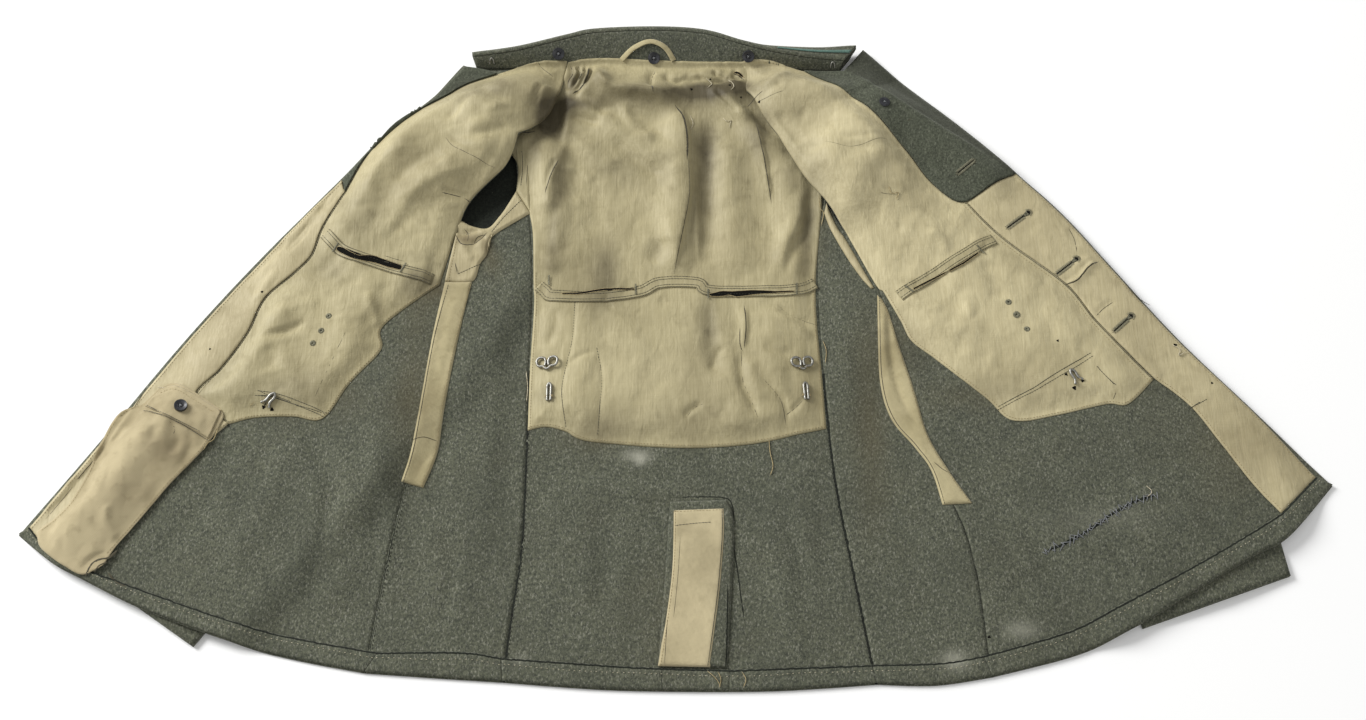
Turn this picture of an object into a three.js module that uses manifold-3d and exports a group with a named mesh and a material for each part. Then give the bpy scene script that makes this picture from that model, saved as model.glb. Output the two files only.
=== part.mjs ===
// A wool field tunic laid open on a table, inside up, with its collar away from the viewer.
// Millimetres, +Z up. The origin is under the middle of the laid-out garment, on the table.
// "Right" and "left" are the wearer's, so the right front lies on the -X side.
import * as THREE from "three";
import { mergeVertices } from "three/addons/utils/BufferGeometryUtils.js";
import Module from "manifold-3d";

const wasm = await Module();
wasm.setup();

// Driving dimensions
const woolWall = 2;
const liningWall = 1;
const tapeWall = 0.8;
const seamGap = 0.3;
const sleeveGap = 2.6; // the loose space between the two walls of a flattened sleeve, at its middle
const sleeveStack = 7.5; // what the body rises by where a sleeve lies under it
const leafWall = 3.2; // the folded-back collar leaf, two plies and canvas
const backStack = 7; // the back with its lining, under a front's shoulder
const drape = 42; // how far cloth takes to come down beside what lies under it
const edgeRoll = 34; // how far a front takes to come down to its edge
const seamStep = 27; // the spacing of the points along a seam

// A fan of grid lines from a point beyond the collar: the cloth's rows and columns.
const fan = { x: -25, y: 624, inner: 236, outer: 1066, from: -41, to: 44, rows: 24, columns: 38, growth: 1.03 };

const table = (columns, ...rows) => rows.map((row) => Object.fromEntries(columns.map((c, i) => [c, row[i]])));
const line = (...rows) => table(["x", "y"], ...rows);

// Seams and edges, each from the hem or from the wearer's right
const frontEdgeRight = line([-651, -212], [-584, -112], [-508, 5], [-438, 101], [-362, 192], [-321, 245], [-271, 297], [-239, 337]);
const frontEdgeLeft = line([652, -160], [582, -79], [515, -1], [455, 83], [409, 147], [363, 196], [276, 285], [204, 358]);
const hemRight = line([-651, -212], [-613, -242], [-579, -260], [-515, -291], [-426, -323], [-363, -339], [-300, -351]);
const hemSideRight = line([-300, -351], [-230, -356], [-168, -360]);
const hemBack = line([-168, -360], [-75, -367], [15, -369], [100, -368], [189, -362]);
const hemSideLeft = line([189, -362], [245, -363], [299, -355]);
const hemLeft = line([299, -355], [383, -333], [442, -306], [497, -274], [562, -236], [600, -215], [652, -160]);
const sideSeamRight = line([-168, -360], [-163, -298], [-155, -219], [-154, -101], [-154, -32], [-153, 60], [-157, 125], [-162, 165]);
const sideSeamLeft = line([189, -362], [173, -261], [157, -155], [150, -60], [146, 20], [146, 90], [150, 135], [155, 165]);
const frontSeamRight = line([-300, -351], [-285, -230], [-264, -111], [-254, -30], [-243, 63], [-236, 122]);
const frontSeamLeft = line([299, -355], [287, -230], [252, -125], [225, -40], [210, 50], [190, 95], [172, 130]);
const backArmholeRight = line([-162, 165], [-173, 178], [-174, 196], [-179, 222], [-200, 255]);
const backArmholeLeft = line([155, 165], [160, 200], [172, 232], [190, 255]);
const sideArmholeRight = line([-236, 122], [-203, 128], [-177, 156], [-162, 165]);
const sideArmholeLeft = line([155, 165], [172, 130]);
const frontArmholeRight = line([-236, 122], [-222, 158], [-189, 193], [-178, 215], [-173, 237]);
const frontArmholeLeft = line([172, 130], [157, 155], [137, 184], [123, 209], [106, 241]);
const shoulderRight = line([-173, 237], [-159, 246], [-140, 268], [-130, 296]);
const shoulderLeft = line([106, 241], [92, 262], [81, 285], [73, 300]);
const shoulderNeckRight = line([-130, 296], [-124, 331]);
const shoulderNeckLeft = line([73, 300], [71, 331]);
const backShoulderRight = line([-200, 255], [-165, 272], [-130, 296]);
const backShoulderLeft = line([190, 255], [140, 278], [73, 300]);
const neckRight = line([-124, 331], [-178, 331], [-215, 330], [-239, 337]);
const neckLeft = line([71, 331], [100, 332], [138, 328], [180, 324], [204, 358]);
const neckBack = line([-124, 331], [-88, 335], [-25, 331], [27, 329], [71, 331]);

// Sleeves under the fronts: both long edges, from the cap to the cuff
const sleeveRightRows = table(
  ["outerX", "outerY", "innerX", "innerY"],
  [-236, 256, -192, 226],
  [-298, 222, -177, 184],
  [-338, 168, -172, 120],
  [-374, 104, -192, 58],
  [-430, 8, -250, -42],
  [-490, -82, -330, -150],
  [-549, -172, -410, -248],
  [-592, -240, -467, -325],
);
const sleeveLeftRows = table(
  ["outerX", "outerY", "innerX", "innerY"],
  [228, 262, 190, 224],
  [292, 232, 182, 188],
  [340, 180, 180, 128],
  [385, 115, 196, 60],
  [450, 30, 268, -42],
  [520, -60, 350, -130],
  [576, -150, 418, -215],
  [597, -254, 448, -307],
);

// The collar from the right end to the left: its seam, the roll of the stand, and how far the leaf stands out past it
const collarRows = table(
  ["seamX", "seamY", "rollX", "rollY", "rollZ", "spread"],
  [-224, 334, -227, 342, 15, 0],
  [-178, 334, -178, 347, 20, 0],
  [-124, 334, -124, 361, 22, 0],
  [-88, 338, -92, 368, 23, 0],
  [-25, 334, -25, 370, 24, 0],
  [27, 332, 27, 366, 24, 0],
  [71, 334, 68, 354, 22, 0],
  [100, 335, 100, 346, 20, 2],
  [138, 331, 142, 339, 18, 9],
  [176, 330, 181, 337, 14, 19],
);
const leafDepth = 46; // from the roll to the leaf's lower edge, under the neck

// Linings, facings and small pieces
const liningRightFacing = line([-454, -96], [-491, -65], [-469, -35], [-446, 5], [-432, 45], [-404, 75], [-387, 97], [-378, 128], [-357, 173]);
const liningRightLower = line([-454, -96], [-428, -89], [-390, -88], [-360, -90], [-336, -52], [-306, -13], [-305, 15], [-250, 62]);
const liningRightTop = line([-357, 173], [-338, 206], [-318, 231], [-290, 262], [-240, 300], [-199, 320]);
const liningRightNeck = line([-199, 320], [-178, 328], [-124, 331]);
const liningRightUnderarm = line([-236, 122], [-240, 105], [-250, 62]);
const liningLeftNeck = line([71, 331], [100, 331], [138, 325]);
const liningLeftTop = line([138, 325], [166, 306], [190, 284], [217, 257], [247, 219], [269, 186], [292, 163], [306, 161]);
const liningLeftFacing = line([306, 161], [343, 117], [404, 63], [432, 20], [466, -24], [484, -46]);
const liningLeftLower = line([484, -46], [455, -74], [433, -74], [385, -86], [337, -92], [311, -67], [263, -24], [239, -3], [229, 20], [212, 55]);
const liningLeftUnderarm = line([212, 55], [205, 62], [180, 116], [172, 130]);
const backLiningOutline = line(
  [-153, -100], [-153, -32], [-151, 40], [-152, 62], [-155, 125], [-160, 160], [-160, 200], [-148, 250], [-130, 290], [-122, 329],
  [-88, 333], [-25, 329], [27, 327], [70, 329],
  [72, 300], [110, 275], [140, 230], [150, 175], [149, 130], [143, 70], [143, 20], [146, -32], [149, -98],
  [122, -104], [71, -115], [1, -119], [-90, -112], [-115, -101], [-135, -96],
);
const facingRightEdge = line([-641, -204], [-581, -114], [-505, 3], [-435, 99], [-362, 188]);
const facingRightUnder = line([-572, -252], [-546, -214], [-508, -159], [-480, -122], [-454, -96]);
const facingLeftUnder = line([484, -46], [518, -77], [545, -120], [570, -161], [594, -192]);
const facingLeftEdge = line([636, -151], [581, -81], [513, -2], [453, 82], [407, 146], [361, 195]);
const woolFacingRightEdge = line([-361, 190], [-320, 243], [-270, 295], [-238, 334], [-214, 328], [-199, 320]);
const woolFacingLeftEdge = line([306, 161], [361, 196], [275, 284], [204, 356], [181, 325], [138, 325]);
const hemTopRight = line([-641, -204], [-622, -226], [-600, -243], [-572, -252]);
const hemInnerRight = line([-572, -252], [-522, -270], [-411, -307], [-288, -331]);
const hemInnerSideRight = line([-288, -331], [-209, -330], [-170, -336]);
const hemInnerBackRight = line([-170, -336], [-90, -342], [-18, -346], [49, -348]);
const hemInnerBackLeft = line([49, -348], [110, -346], [185, -343]);
const hemInnerSideLeft = line([185, -343], [251, -341], [292, -334]);
const hemInnerLeft = line([292, -334], [372, -311], [435, -281], [520, -236], [594, -192]);
const hemTopLeft = line([594, -192], [636, -151]);
const dressingPocketOutline = line(
  [-531, -56], [-510, -51], [-464, -80], [-460, -92], [-476, -124], [-503, -159], [-541, -214], [-556, -236], [-580, -250],
  [-606, -237], [-629, -208], [-601, -176], [-572, -89], [-545, -72],
);
const dressingPocketBand = line([-529, -59], [-511, -55], [-468, -82], [-480, -108], [-520, -88], [-541, -76]);
const ventSlit = { x: 49, width: 0.6, top: -180 };
const ventFacingOutline = line([-9, -177], [47, -175], [54, -196], [52, -260], [46, -344], [-20, -343], [-14, -260]);
const ventPatchOutline = line([-6, -190], [44, -187], [38, -270], [31, -341], [-18, -340], [-12, -260]);
const strapRight = line([-243, 62], [-255, -3], [-263, -80], [-269, -125], [-277, -156], [-255, -162], [-243, -125], [-238, -80], [-228, -3], [-215, 62]);
const strapLeft = line([206, 50], [205, -38], [214, -85], [236, -118], [252, -145], [261, -182], [291, -179], [272, -148], [252, -108], [240, -60], [226, -8], [217, 30], [210, 46]);
const underarmRight = line([-236, 120], [-203, 126], [-177, 154], [-164, 162], [-160, 148], [-196, 118], [-201, 108], [-206, 83], [-214, 65], [-243, 65]);
const underarmLeft = line([157, 160], [154, 148], [160, 128], [174, 98], [190, 70], [202, 56], [201, 62], [176, 115], [167, 131]);
const armholeStripRight = line([-171, 180], [-172, 196], [-177, 222], [-178, 236], [-168, 238], [-163, 200], [-162, 176]);
const casingWidth = 13;
const casingRight = line([-374, 121], [-352, 98], [-320, 86], [-289, 76], [-258, 68]);
const casingLeft = line([228, 47], [258, 66], [290, 88], [315, 105], [332, 115]);
const casingBack = line([-146, 61], [-132, 50], [-82, 49], [-41, 55], [-20, 65], [19, 65], [30, 56], [80, 55], [121, 57], [137, 64]);
const hangerLoopRun = line([-64, 341], [-50, 352], [-32, 358], [-16, 352], [-6, 339]);
const hangerLoopWidth = 6;

// Soft ridges: a row for each, between two points, with how far it spreads to each side and how high it stands
const fold = (...rows) => table(["x0", "y0", "x1", "y1", "reach", "height"], ...rows);
const skirtFolds = fold(
  [-300, -70, -350, -250, 55, 3.2],
  [-205, -60, -225, -290, 45, 2.6],
  [230, -130, 330, -290, 60, 4.2],
  [400, -110, 470, -215, 55, 3],
  [-60, -150, -95, -320, 55, 2.4],
  [120, -140, 110, -320, 50, 2.2],
);
const shoulderFoldsRight = fold(
  [-175, 262, -235, 200, 92, 11],
  [-160, 296, -215, 285, 50, 6],
  [-250, 235, -345, 130, 62, 5],
);
const shoulderFoldsLeft = fold(
  [118, 272, 190, 200, 88, 11],
  [105, 296, 150, 290, 45, 6],
  [186, 308, 335, 198, 44, 11],
);
const liningFoldsRight = fold(
  [-190, 300, -300, 225, 34, 5],
  [-300, 225, -375, 140, 30, 3],
  [-215, 215, -290, 165, 30, 4],
  [-330, 60, -345, -40, 34, 3],
  [-420, 20, -450, -60, 26, 3],
);
const liningFoldsLeft = fold(
  [150, 300, 255, 205, 32, 4],
  [160, 210, 260, 120, 34, 5],
  [300, 70, 380, -40, 40, 3],
  [240, 40, 300, 10, 26, 3],
);
const backLiningFolds = fold(
  [-95, 310, -20, 292, 30, 7],
  [-100, 292, -30, 222, 28, 5],
  [-136, 225, -138, 95, 26, 6],
  [-4, 262, -4, 92, 24, 5],
  [55, 295, 98, 225, 26, 5],
  [116, 200, 118, 90, 26, 5],
  [55, 215, 60, 95, 30, 3],
  [-98, 25, -104, -80, 26, 3],
  [30, 30, 62, -90, 30, 3],
  [98, 20, 92, -80, 26, 3],
);
const pocketFolds = fold([-515, -95, -590, -205, 40, 4]);

// Curves and distances in plan
const flat = (run) => run.map((p) => new THREE.Vector2(p.x, p.y));
const smooth = (run) => {
  const curve = new THREE.SplineCurve(flat(run));
  return curve.getSpacedPoints(Math.max(1, Math.ceil(curve.getLength() / seamStep)));
};
const backwards = (run) => [...run].reverse();
// Joins seams end to end into one closed outline, each seam smoothed by itself so that neighbours agree
const outlineOf = (...runs) => runs.flatMap(([run, reversed]) => {
  const points = smooth(run);
  return (reversed ? backwards(points) : points).slice(0, -1);
});
const ahead = (run) => [run, false];
const behind = (run) => [run, true];
const corners = (run) => flat(run);

function distanceToSegment(p, a, b) {
  const along = new THREE.Vector2().subVectors(b, a);
  const t = THREE.MathUtils.clamp(new THREE.Vector2().subVectors(p, a).dot(along) / along.lengthSq(), 0, 1);
  return p.distanceTo(a.clone().addScaledVector(along, t));
}
function insideOutline(p, outline) {
  let inside = false;
  outline.forEach((a, i) => {
    const b = outline[(i + 1) % outline.length];
    const crosses = a.y > p.y !== b.y > p.y;
    if (crosses && p.x < ((b.x - a.x) * (p.y - a.y)) / (b.y - a.y) + a.x) inside = !inside;
  });
  return inside;
}
const distanceToOutline = (p, outline) =>
  Math.min(...outline.map((a, i) => distanceToSegment(p, a, outline[(i + 1) % outline.length])));
const distanceOutside = (p, outline) => (insideOutline(p, outline) ? 0 : distanceToOutline(p, outline));

// 1 near, easing to 0 at the reach
function fade(distance, reach) {
  const t = THREE.MathUtils.clamp(1 - distance / reach, 0, 1);
  return t * t * (3 - 2 * t);
}
const foldHeight = (p, folds) =>
  folds.reduce((sum, f) => {
    const far = distanceToSegment(p, new THREE.Vector2(f.x0, f.y0), new THREE.Vector2(f.x1, f.y1));
    return sum + f.height * fade(far, f.reach);
  }, 0);

// What lies on the table, under the body
const sleeveOutline = (rows) => [
  ...smooth(rows.map((r) => ({ x: r.outerX, y: r.outerY }))),
  ...backwards(smooth(rows.map((r) => ({ x: r.innerX, y: r.innerY })))),
];
const sleeveRight = sleeveOutline(sleeveRightRows);
const sleeveLeft = sleeveOutline(sleeveLeftRows);
const leafOutline = corners(line([-226, 345], [-124, 365], [-25, 374], [27, 369], [100, 352], [181, 345], [186, 322], [100, 316], [27, 322], [-25, 326], [-124, 318], [-220, 322]));
const backTop = corners(line([-168, 180], [-200, 255], [-130, 296], [73, 300], [190, 255], [160, 170]));
const bodyEdge = outlineOf(
  behind(frontEdgeRight), ahead(hemRight), ahead(hemSideRight), ahead(hemBack), ahead(hemSideLeft), ahead(hemLeft),
  ahead(frontEdgeLeft), behind(neckLeft), behind(neckBack), ahead(neckRight),
);
const tuck = 18; // cloth stays up this far past what it lies on
const neckPoints = corners(line([-124, 331], [71, 331]));
const neckReach = 46; // how far from the neck a front takes to leave the back

// Heights of the underside of the body and of each front
function bodyHeight(p) {
  const sleeves = [sleeveRight, sleeveLeft].map((s) => sleeveStack * fade(distanceOutside(p, s) - tuck, drape));
  const leaf = (leafWall + 2 * seamGap) * fade(distanceOutside(p, leafOutline) - tuck, drape);
  return Math.max(...sleeves, leaf) + foldHeight(p, skirtFolds);
}
const settle = (p) => 1 - fade(distanceToOutline(p, bodyEdge), edgeRoll);
const neckEase = (p) => 1 - fade(Math.min(...neckPoints.map((n) => n.distanceTo(p))) - 4, neckReach);
const frontHeight = (shoulderFolds) => (p) =>
  bodyHeight(p) + neckEase(p) * (
    backStack * fade(distanceOutside(p, backTop) - tuck, drape)
    + foldHeight(p, shoulderFolds) * (0.35 + 0.65 * settle(p))
  );
const rightHeight = frontHeight(shoulderFoldsRight);
const leftHeight = frontHeight(shoulderFoldsLeft);

// Solids
function solidOf(geometry) {
  const bare = geometry.index ? geometry.clone() : geometry;
  for (const name of Object.keys(bare.attributes)) if (name !== "position") bare.deleteAttribute(name);
  const merged = mergeVertices(bare, 1e-3);
  return new wasm.Manifold(new wasm.Mesh({
    numProp: 3,
    vertProperties: new Float32Array(merged.attributes.position.array),
    triVerts: new Uint32Array(merged.index.array),
  }));
}
function geometryOf(solid) {
  const mesh = solid.getMesh();
  const geometry = new THREE.BufferGeometry();
  geometry.setAttribute("position", new THREE.BufferAttribute(new Float32Array(mesh.vertProperties), 3));
  geometry.setIndex(new THREE.BufferAttribute(new Uint32Array(mesh.triVerts), 1));
  geometry.computeVertexNormals();
  return geometry;
}

// A closed wall from a grid of lower points and a grid of upper points, rows by columns
function wallOf(lower, upper) {
  const rows = lower.length;
  const columns = lower[0].length;
  const position = [...lower.flat(), ...upper.flat()].flatMap((p) => [p.x, p.y, p.z]);
  const at = (r, c, top) => (top ? rows * columns : 0) + r * columns + c;
  const index = [];
  const quad = (a, b, c, d) => index.push(a, b, c, a, c, d);
  for (let r = 0; r + 1 < rows; r += 1) {
    for (let c = 0; c + 1 < columns; c += 1) {
      quad(at(r, c, true), at(r, c + 1, true), at(r + 1, c + 1, true), at(r + 1, c, true));
      quad(at(r, c, false), at(r + 1, c, false), at(r + 1, c + 1, false), at(r, c + 1, false));
    }
    quad(at(r, 0, false), at(r, 0, true), at(r + 1, 0, true), at(r + 1, 0, false));
    const last = columns - 1;
    quad(at(r + 1, last, false), at(r + 1, last, true), at(r, last, true), at(r, last, false));
  }
  for (let c = 0; c + 1 < columns; c += 1) {
    quad(at(0, c + 1, false), at(0, c + 1, true), at(0, c, true), at(0, c, false));
    const last = rows - 1;
    quad(at(last, c, false), at(last, c, true), at(last, c + 1, true), at(last, c + 1, false));
  }
  const geometry = new THREE.BufferGeometry();
  geometry.setAttribute("position", new THREE.Float32BufferAttribute(position, 3));
  geometry.setIndex(index);
  return geometry;
}
const facingOut = (geometry) => {
  const solid = solidOf(geometry);
  if (solid.volume() > 0) return solid;
  const index = geometry.index.array;
  for (let i = 0; i < index.length; i += 3) [index[i + 1], index[i + 2]] = [index[i + 2], index[i + 1]];
  return solidOf(geometry);
};

// The fan's points in plan, further apart towards the hem
const fanPoints = Array.from({ length: fan.rows + 1 }, (_, r) => {
  const share = (fan.growth ** r - 1) / (fan.growth ** fan.rows - 1);
  const radius = fan.inner + (fan.outer - fan.inner) * share;
  return Array.from({ length: fan.columns + 1 }, (_, c) => {
    const angle = THREE.MathUtils.degToRad(fan.from + ((fan.to - fan.from) * c) / fan.columns);
    return new THREE.Vector2(fan.x + radius * Math.sin(angle), fan.y - radius * Math.cos(angle));
  });
});
// A sheet over the whole fan: its underside at height(p) + above + puff(p)
function sheet(height, above, wall, puff = () => 0) {
  const at = (extra) => fanPoints.map((row) => row.map((p) => new THREE.Vector3(p.x, p.y, height(p) + above + puff(p) + extra)));
  return facingOut(wallOf(at(0), at(wall)));
}
// Moves an outline's points inwards, so that neighbours at a seam stand a seam gap apart
function drawnIn(outline, by) {
  const turn = THREE.ShapeUtils.area(outline) > 0 ? 1 : -1;
  return outline.map((p, i) => {
    const before = outline[(i + outline.length - 1) % outline.length];
    const after = outline[(i + 1) % outline.length];
    const a = new THREE.Vector2().subVectors(p, before).normalize();
    const b = new THREE.Vector2().subVectors(after, p).normalize();
    const inward = new THREE.Vector2(-(a.y + b.y), a.x + b.x).multiplyScalar(turn).normalize();
    const spread = Math.max(0.35, Math.abs(inward.x * -a.y + inward.y * a.x));
    return p.clone().addScaledVector(inward, by / spread);
  });
}
const prism = (outline, height = 80) =>
  solidOf(new THREE.ExtrudeGeometry(new THREE.Shape(outline), { depth: height, bevelEnabled: false }));
const cutFrom = (cloth, outline) => cloth.intersect(prism(drawnIn(outline, seamGap / 2)));

// A band of even width along a run, as an outline
function bandOutline(run, width) {
  const points = smooth(run);
  const side = (sign) => points.map((p, i) => {
    const a = points[Math.max(0, i - 1)];
    const b = points[Math.min(points.length - 1, i + 1)];
    const across = new THREE.Vector2(-(b.y - a.y), b.x - a.x).setLength((sign * width) / 2);
    return p.clone().add(across);
  });
  return [...side(1), ...backwards(side(-1))];
}

const materials = {
  wool: new THREE.MeshStandardMaterial({ color: "#4c5248", roughness: 0.95, metalness: 0 }),
  lining: new THREE.MeshStandardMaterial({ color: "#b3a77f", roughness: 0.6, metalness: 0 }),
  cotton: new THREE.MeshStandardMaterial({ color: "#b09a70", roughness: 0.85, metalness: 0 }),
  steel: new THREE.MeshStandardMaterial({ color: "#9a9a94", roughness: 0.4, metalness: 0.9 }),
  button: new THREE.MeshStandardMaterial({ color: "#23252b", roughness: 0.4, metalness: 0 }),
  tape: new THREE.MeshStandardMaterial({ color: "#4f6b60", roughness: 0.8, metalness: 0 }),
};
const tunic = new THREE.Group();
function add(name, material, solid) {
  const mesh = new THREE.Mesh(geometryOf(solid), materials[material]);
  mesh.name = name;
  tunic.add(mesh);
  return solid;
}

// Shell: five panels of wool
const backOutline = outlineOf(
  ahead(sideSeamRight), ahead(backArmholeRight), ahead(backShoulderRight), ahead(shoulderNeckRight), ahead(neckBack),
  behind(shoulderNeckLeft), behind(backShoulderLeft), behind(backArmholeLeft), behind(sideSeamLeft), behind(hemBack),
);
const sideRightOutline = outlineOf(ahead(frontSeamRight), ahead(sideArmholeRight), behind(sideSeamRight), behind(hemSideRight));
const sideLeftOutline = outlineOf(ahead(sideSeamLeft), ahead(sideArmholeLeft), behind(frontSeamLeft), behind(hemSideLeft));
const frontRightOutline = outlineOf(
  ahead(frontEdgeRight), behind(neckRight), behind(shoulderNeckRight), behind(shoulderRight), behind(frontArmholeRight),
  behind(frontSeamRight), behind(hemRight),
);
const frontLeftOutline = outlineOf(
  ahead(frontSeamLeft), ahead(frontArmholeLeft), ahead(shoulderLeft), ahead(shoulderNeckLeft), ahead(neckLeft),
  behind(frontEdgeLeft), behind(hemLeft),
);
const bodyWool = sheet(bodyHeight, 0, woolWall);
const rightWool = sheet(rightHeight, 0, woolWall);
const leftWool = sheet(leftHeight, 0, woolWall);
const ventTool = prism(corners(line(
  [ventSlit.x, ventSlit.top], [ventSlit.x + ventSlit.width, ventSlit.top],
  [ventSlit.x + ventSlit.width, -400], [ventSlit.x, -400],
)));
add("back_panel", "wool", cutFrom(bodyWool, backOutline).subtract(ventTool));
add("side_panel_right", "wool", cutFrom(bodyWool, sideRightOutline));
add("side_panel_left", "wool", cutFrom(bodyWool, sideLeftOutline));
add("front_panel_right", "wool", cutFrom(rightWool, frontRightOutline));
add("front_panel_left", "wool", cutFrom(leftWool, frontLeftOutline));

// The turned-up hem, its outer line a little inside the fold
const onWool = woolWall + seamGap;
const hemSet = 1.2;
const edgeOf = (run) => {
  const points = smooth(run);
  return points.map((p) => new THREE.Vector2(p.x, p.y + hemSet));
};
const join = (...parts) => parts.flat().filter((p, i, all) => p.distanceTo(all[(i + 1) % all.length]) > 0.05);
const hemPiece = (inner, outer) => join(inner.flatMap(smooth), backwards(edgeOf(outer)));
const bodyTurnUp = sheet(bodyHeight, onWool, woolWall);
const hemBackOuter = smooth(hemBack);
const hemBackSplit = (keep) => edgeOf(hemBack).filter((p) => keep(p.x));
add("hem_right", "wool", cutFrom(sheet(rightHeight, onWool, woolWall), hemPiece([hemTopRight, hemInnerRight], hemRight)));
add("hem_side_right", "wool", cutFrom(bodyTurnUp, hemPiece([hemInnerSideRight], hemSideRight)));
add("hem_back_right", "wool", cutFrom(bodyTurnUp, join(
  smooth(hemInnerBackRight), corners(line([49, -367.5])), backwards(hemBackSplit((x) => x < 45)),
)));
add("hem_back_left", "wool", cutFrom(bodyTurnUp, join(
  smooth(hemInnerBackLeft), backwards(hemBackSplit((x) => x > 55)), corners(line([49, -367.5])),
)));
add("hem_side_left", "wool", cutFrom(bodyTurnUp, hemPiece([hemInnerSideLeft], hemSideLeft)));
add("hem_left", "wool", cutFrom(sheet(leftHeight, onWool, woolWall), hemPiece([hemInnerLeft, hemTopLeft], hemLeft)));

// Linings lie on the wool and puff up between their seams
const puffOf = (outline, folds) => (p) => foldHeight(p, folds) * (1 - fade(distanceToOutline(p, outline), 30));
const liningRightOutline = outlineOf(
  ahead(liningRightFacing), ahead(liningRightTop), ahead(liningRightNeck), behind(shoulderNeckRight), behind(shoulderRight),
  behind(frontArmholeRight), ahead(liningRightUnderarm), behind(liningRightLower),
);
const liningLeftOutline = outlineOf(
  ahead(liningLeftFacing), ahead(liningLeftLower), ahead(liningLeftUnderarm), ahead(frontArmholeLeft), ahead(shoulderLeft),
  ahead(shoulderNeckLeft), ahead(liningLeftNeck), ahead(liningLeftTop),
);
const backLining = corners(backLiningOutline);
const puffRight = puffOf(liningRightOutline, liningFoldsRight);
const puffLeft = puffOf(liningLeftOutline, liningFoldsLeft);
const puffBack = puffOf(backLining, backLiningFolds);
add("lining_back", "lining", cutFrom(sheet(bodyHeight, onWool, liningWall, puffBack), backLining));
add("lining_front_right", "lining", cutFrom(sheet(rightHeight, onWool, liningWall, puffRight), liningRightOutline));
add("lining_front_left", "lining", cutFrom(sheet(leftHeight, onWool, liningWall, puffLeft), liningLeftOutline));

// Facings beside the linings
const facingRight = join(
  smooth(liningRightFacing), backwards(smooth(facingRightEdge)), smooth(hemTopRight), smooth(facingRightUnder),
);
const facingLeft = join(
  smooth(liningLeftFacing), smooth(facingLeftUnder), smooth(hemTopLeft), smooth(facingLeftEdge),
);
add("facing_right", "cotton", cutFrom(sheet(rightHeight, onWool, liningWall), facingRight));
add("facing_left", "cotton", cutFrom(sheet(leftHeight, onWool, liningWall), facingLeft));
add("wool_facing_right", "wool", cutFrom(sheet(rightHeight, onWool, woolWall), join(smooth(liningRightTop), backwards(corners(woolFacingRightEdge)))));
add("wool_facing_left", "wool", cutFrom(sheet(leftHeight, onWool, woolWall), join(smooth(liningLeftTop), corners(woolFacingLeftEdge))));
const bodyFacing = sheet(bodyHeight, onWool, liningWall);
add("underarm_facing_right", "lining", cutFrom(bodyFacing, corners(underarmRight)));
add("underarm_facing_left", "lining", cutFrom(bodyFacing, corners(underarmLeft)));
add("armhole_strip_right", "lining", cutFrom(bodyFacing, corners(armholeStripRight)));
add("strap_right", "cotton", cutFrom(bodyFacing, corners(strapRight)));
add("strap_left", "cotton", cutFrom(bodyFacing, corners(strapLeft)));
add("vent_facing", "wool", cutFrom(bodyTurnUp, corners(ventFacingOutline)));
const onFacing = onWool + woolWall + seamGap;
add("vent_patch", "cotton", cutFrom(sheet(bodyHeight, onFacing, liningWall), corners(ventPatchOutline)));

// Casings for the strap, on the linings
const onLining = onWool + liningWall + seamGap;
const casing = (height, puff, run) => cutFrom(sheet(height, onLining, tapeWall, puff), bandOutline(run, casingWidth));
add("strap_casing_back", "lining", casing(bodyHeight, puffBack, casingBack));
add("strap_casing_right", "lining", casing(rightHeight, puffRight, casingRight));
add("strap_casing_left", "lining", casing(leftHeight, puffLeft, casingLeft));

// The dressing pocket, over the facing and the hem
const pocketOutline = corners(dressingPocketOutline);
const hemLine = smooth(hemTopRight);
const pocketPuff = (p) => {
  const overHem = Math.min(...hemLine.slice(1).map((b, i) => distanceToSegment(p, hemLine[i], b)));
  return (onFacing - onLining) * fade(overHem - 14, 60)
    + foldHeight(p, pocketFolds) * (1 - fade(distanceToOutline(p, pocketOutline), 20)) + puffRight(p);
};
add("dressing_pocket", "cotton", cutFrom(sheet(rightHeight, onLining, liningWall, pocketPuff), pocketOutline));
add("dressing_pocket_band", "cotton", cutFrom(
  sheet(rightHeight, onLining + liningWall + seamGap, liningWall, pocketPuff), corners(dressingPocketBand),
));

// Sleeves, flattened: an under wall on the table and an upper wall on it
const sleeveSteps = { along: 14, upperFrom: 4 };
function sleeveGrid(rows, first, bulge, above) {
  const across = bulge > 0 ? 6 : 2;
  const rail = (x, y) => new THREE.SplineCurve(rows.map((r) => new THREE.Vector2(r[x], r[y]))).getSpacedPoints(sleeveSteps.along);
  const outer = rail("outerX", "outerY");
  const inner = rail("innerX", "innerY");
  return outer.slice(first).map((o, i) => Array.from({ length: across + 1 }, (_, c) => {
    const t = c / across;
    const p = o.clone().lerp(inner[i + first], t);
    return new THREE.Vector3(p.x, p.y, above + bulge * Math.sin(Math.PI * t));
  }));
}
const sleeveWall = (rows, first, bulge, above) =>
  facingOut(wallOf(sleeveGrid(rows, first, bulge, above), sleeveGrid(rows, first, bulge, above + woolWall)));
add("sleeve_right_under", "wool", sleeveWall(sleeveRightRows, 0, 0, 0));
add("sleeve_right_upper", "wool", sleeveWall(sleeveRightRows, sleeveSteps.upperFrom, sleeveGap, woolWall + seamGap));
add("sleeve_left_under", "wool", sleeveWall(sleeveLeftRows, 0, 0, 0));
add("sleeve_left_upper", "wool", sleeveWall(sleeveLeftRows, 0, sleeveGap, woolWall + seamGap));

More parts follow.
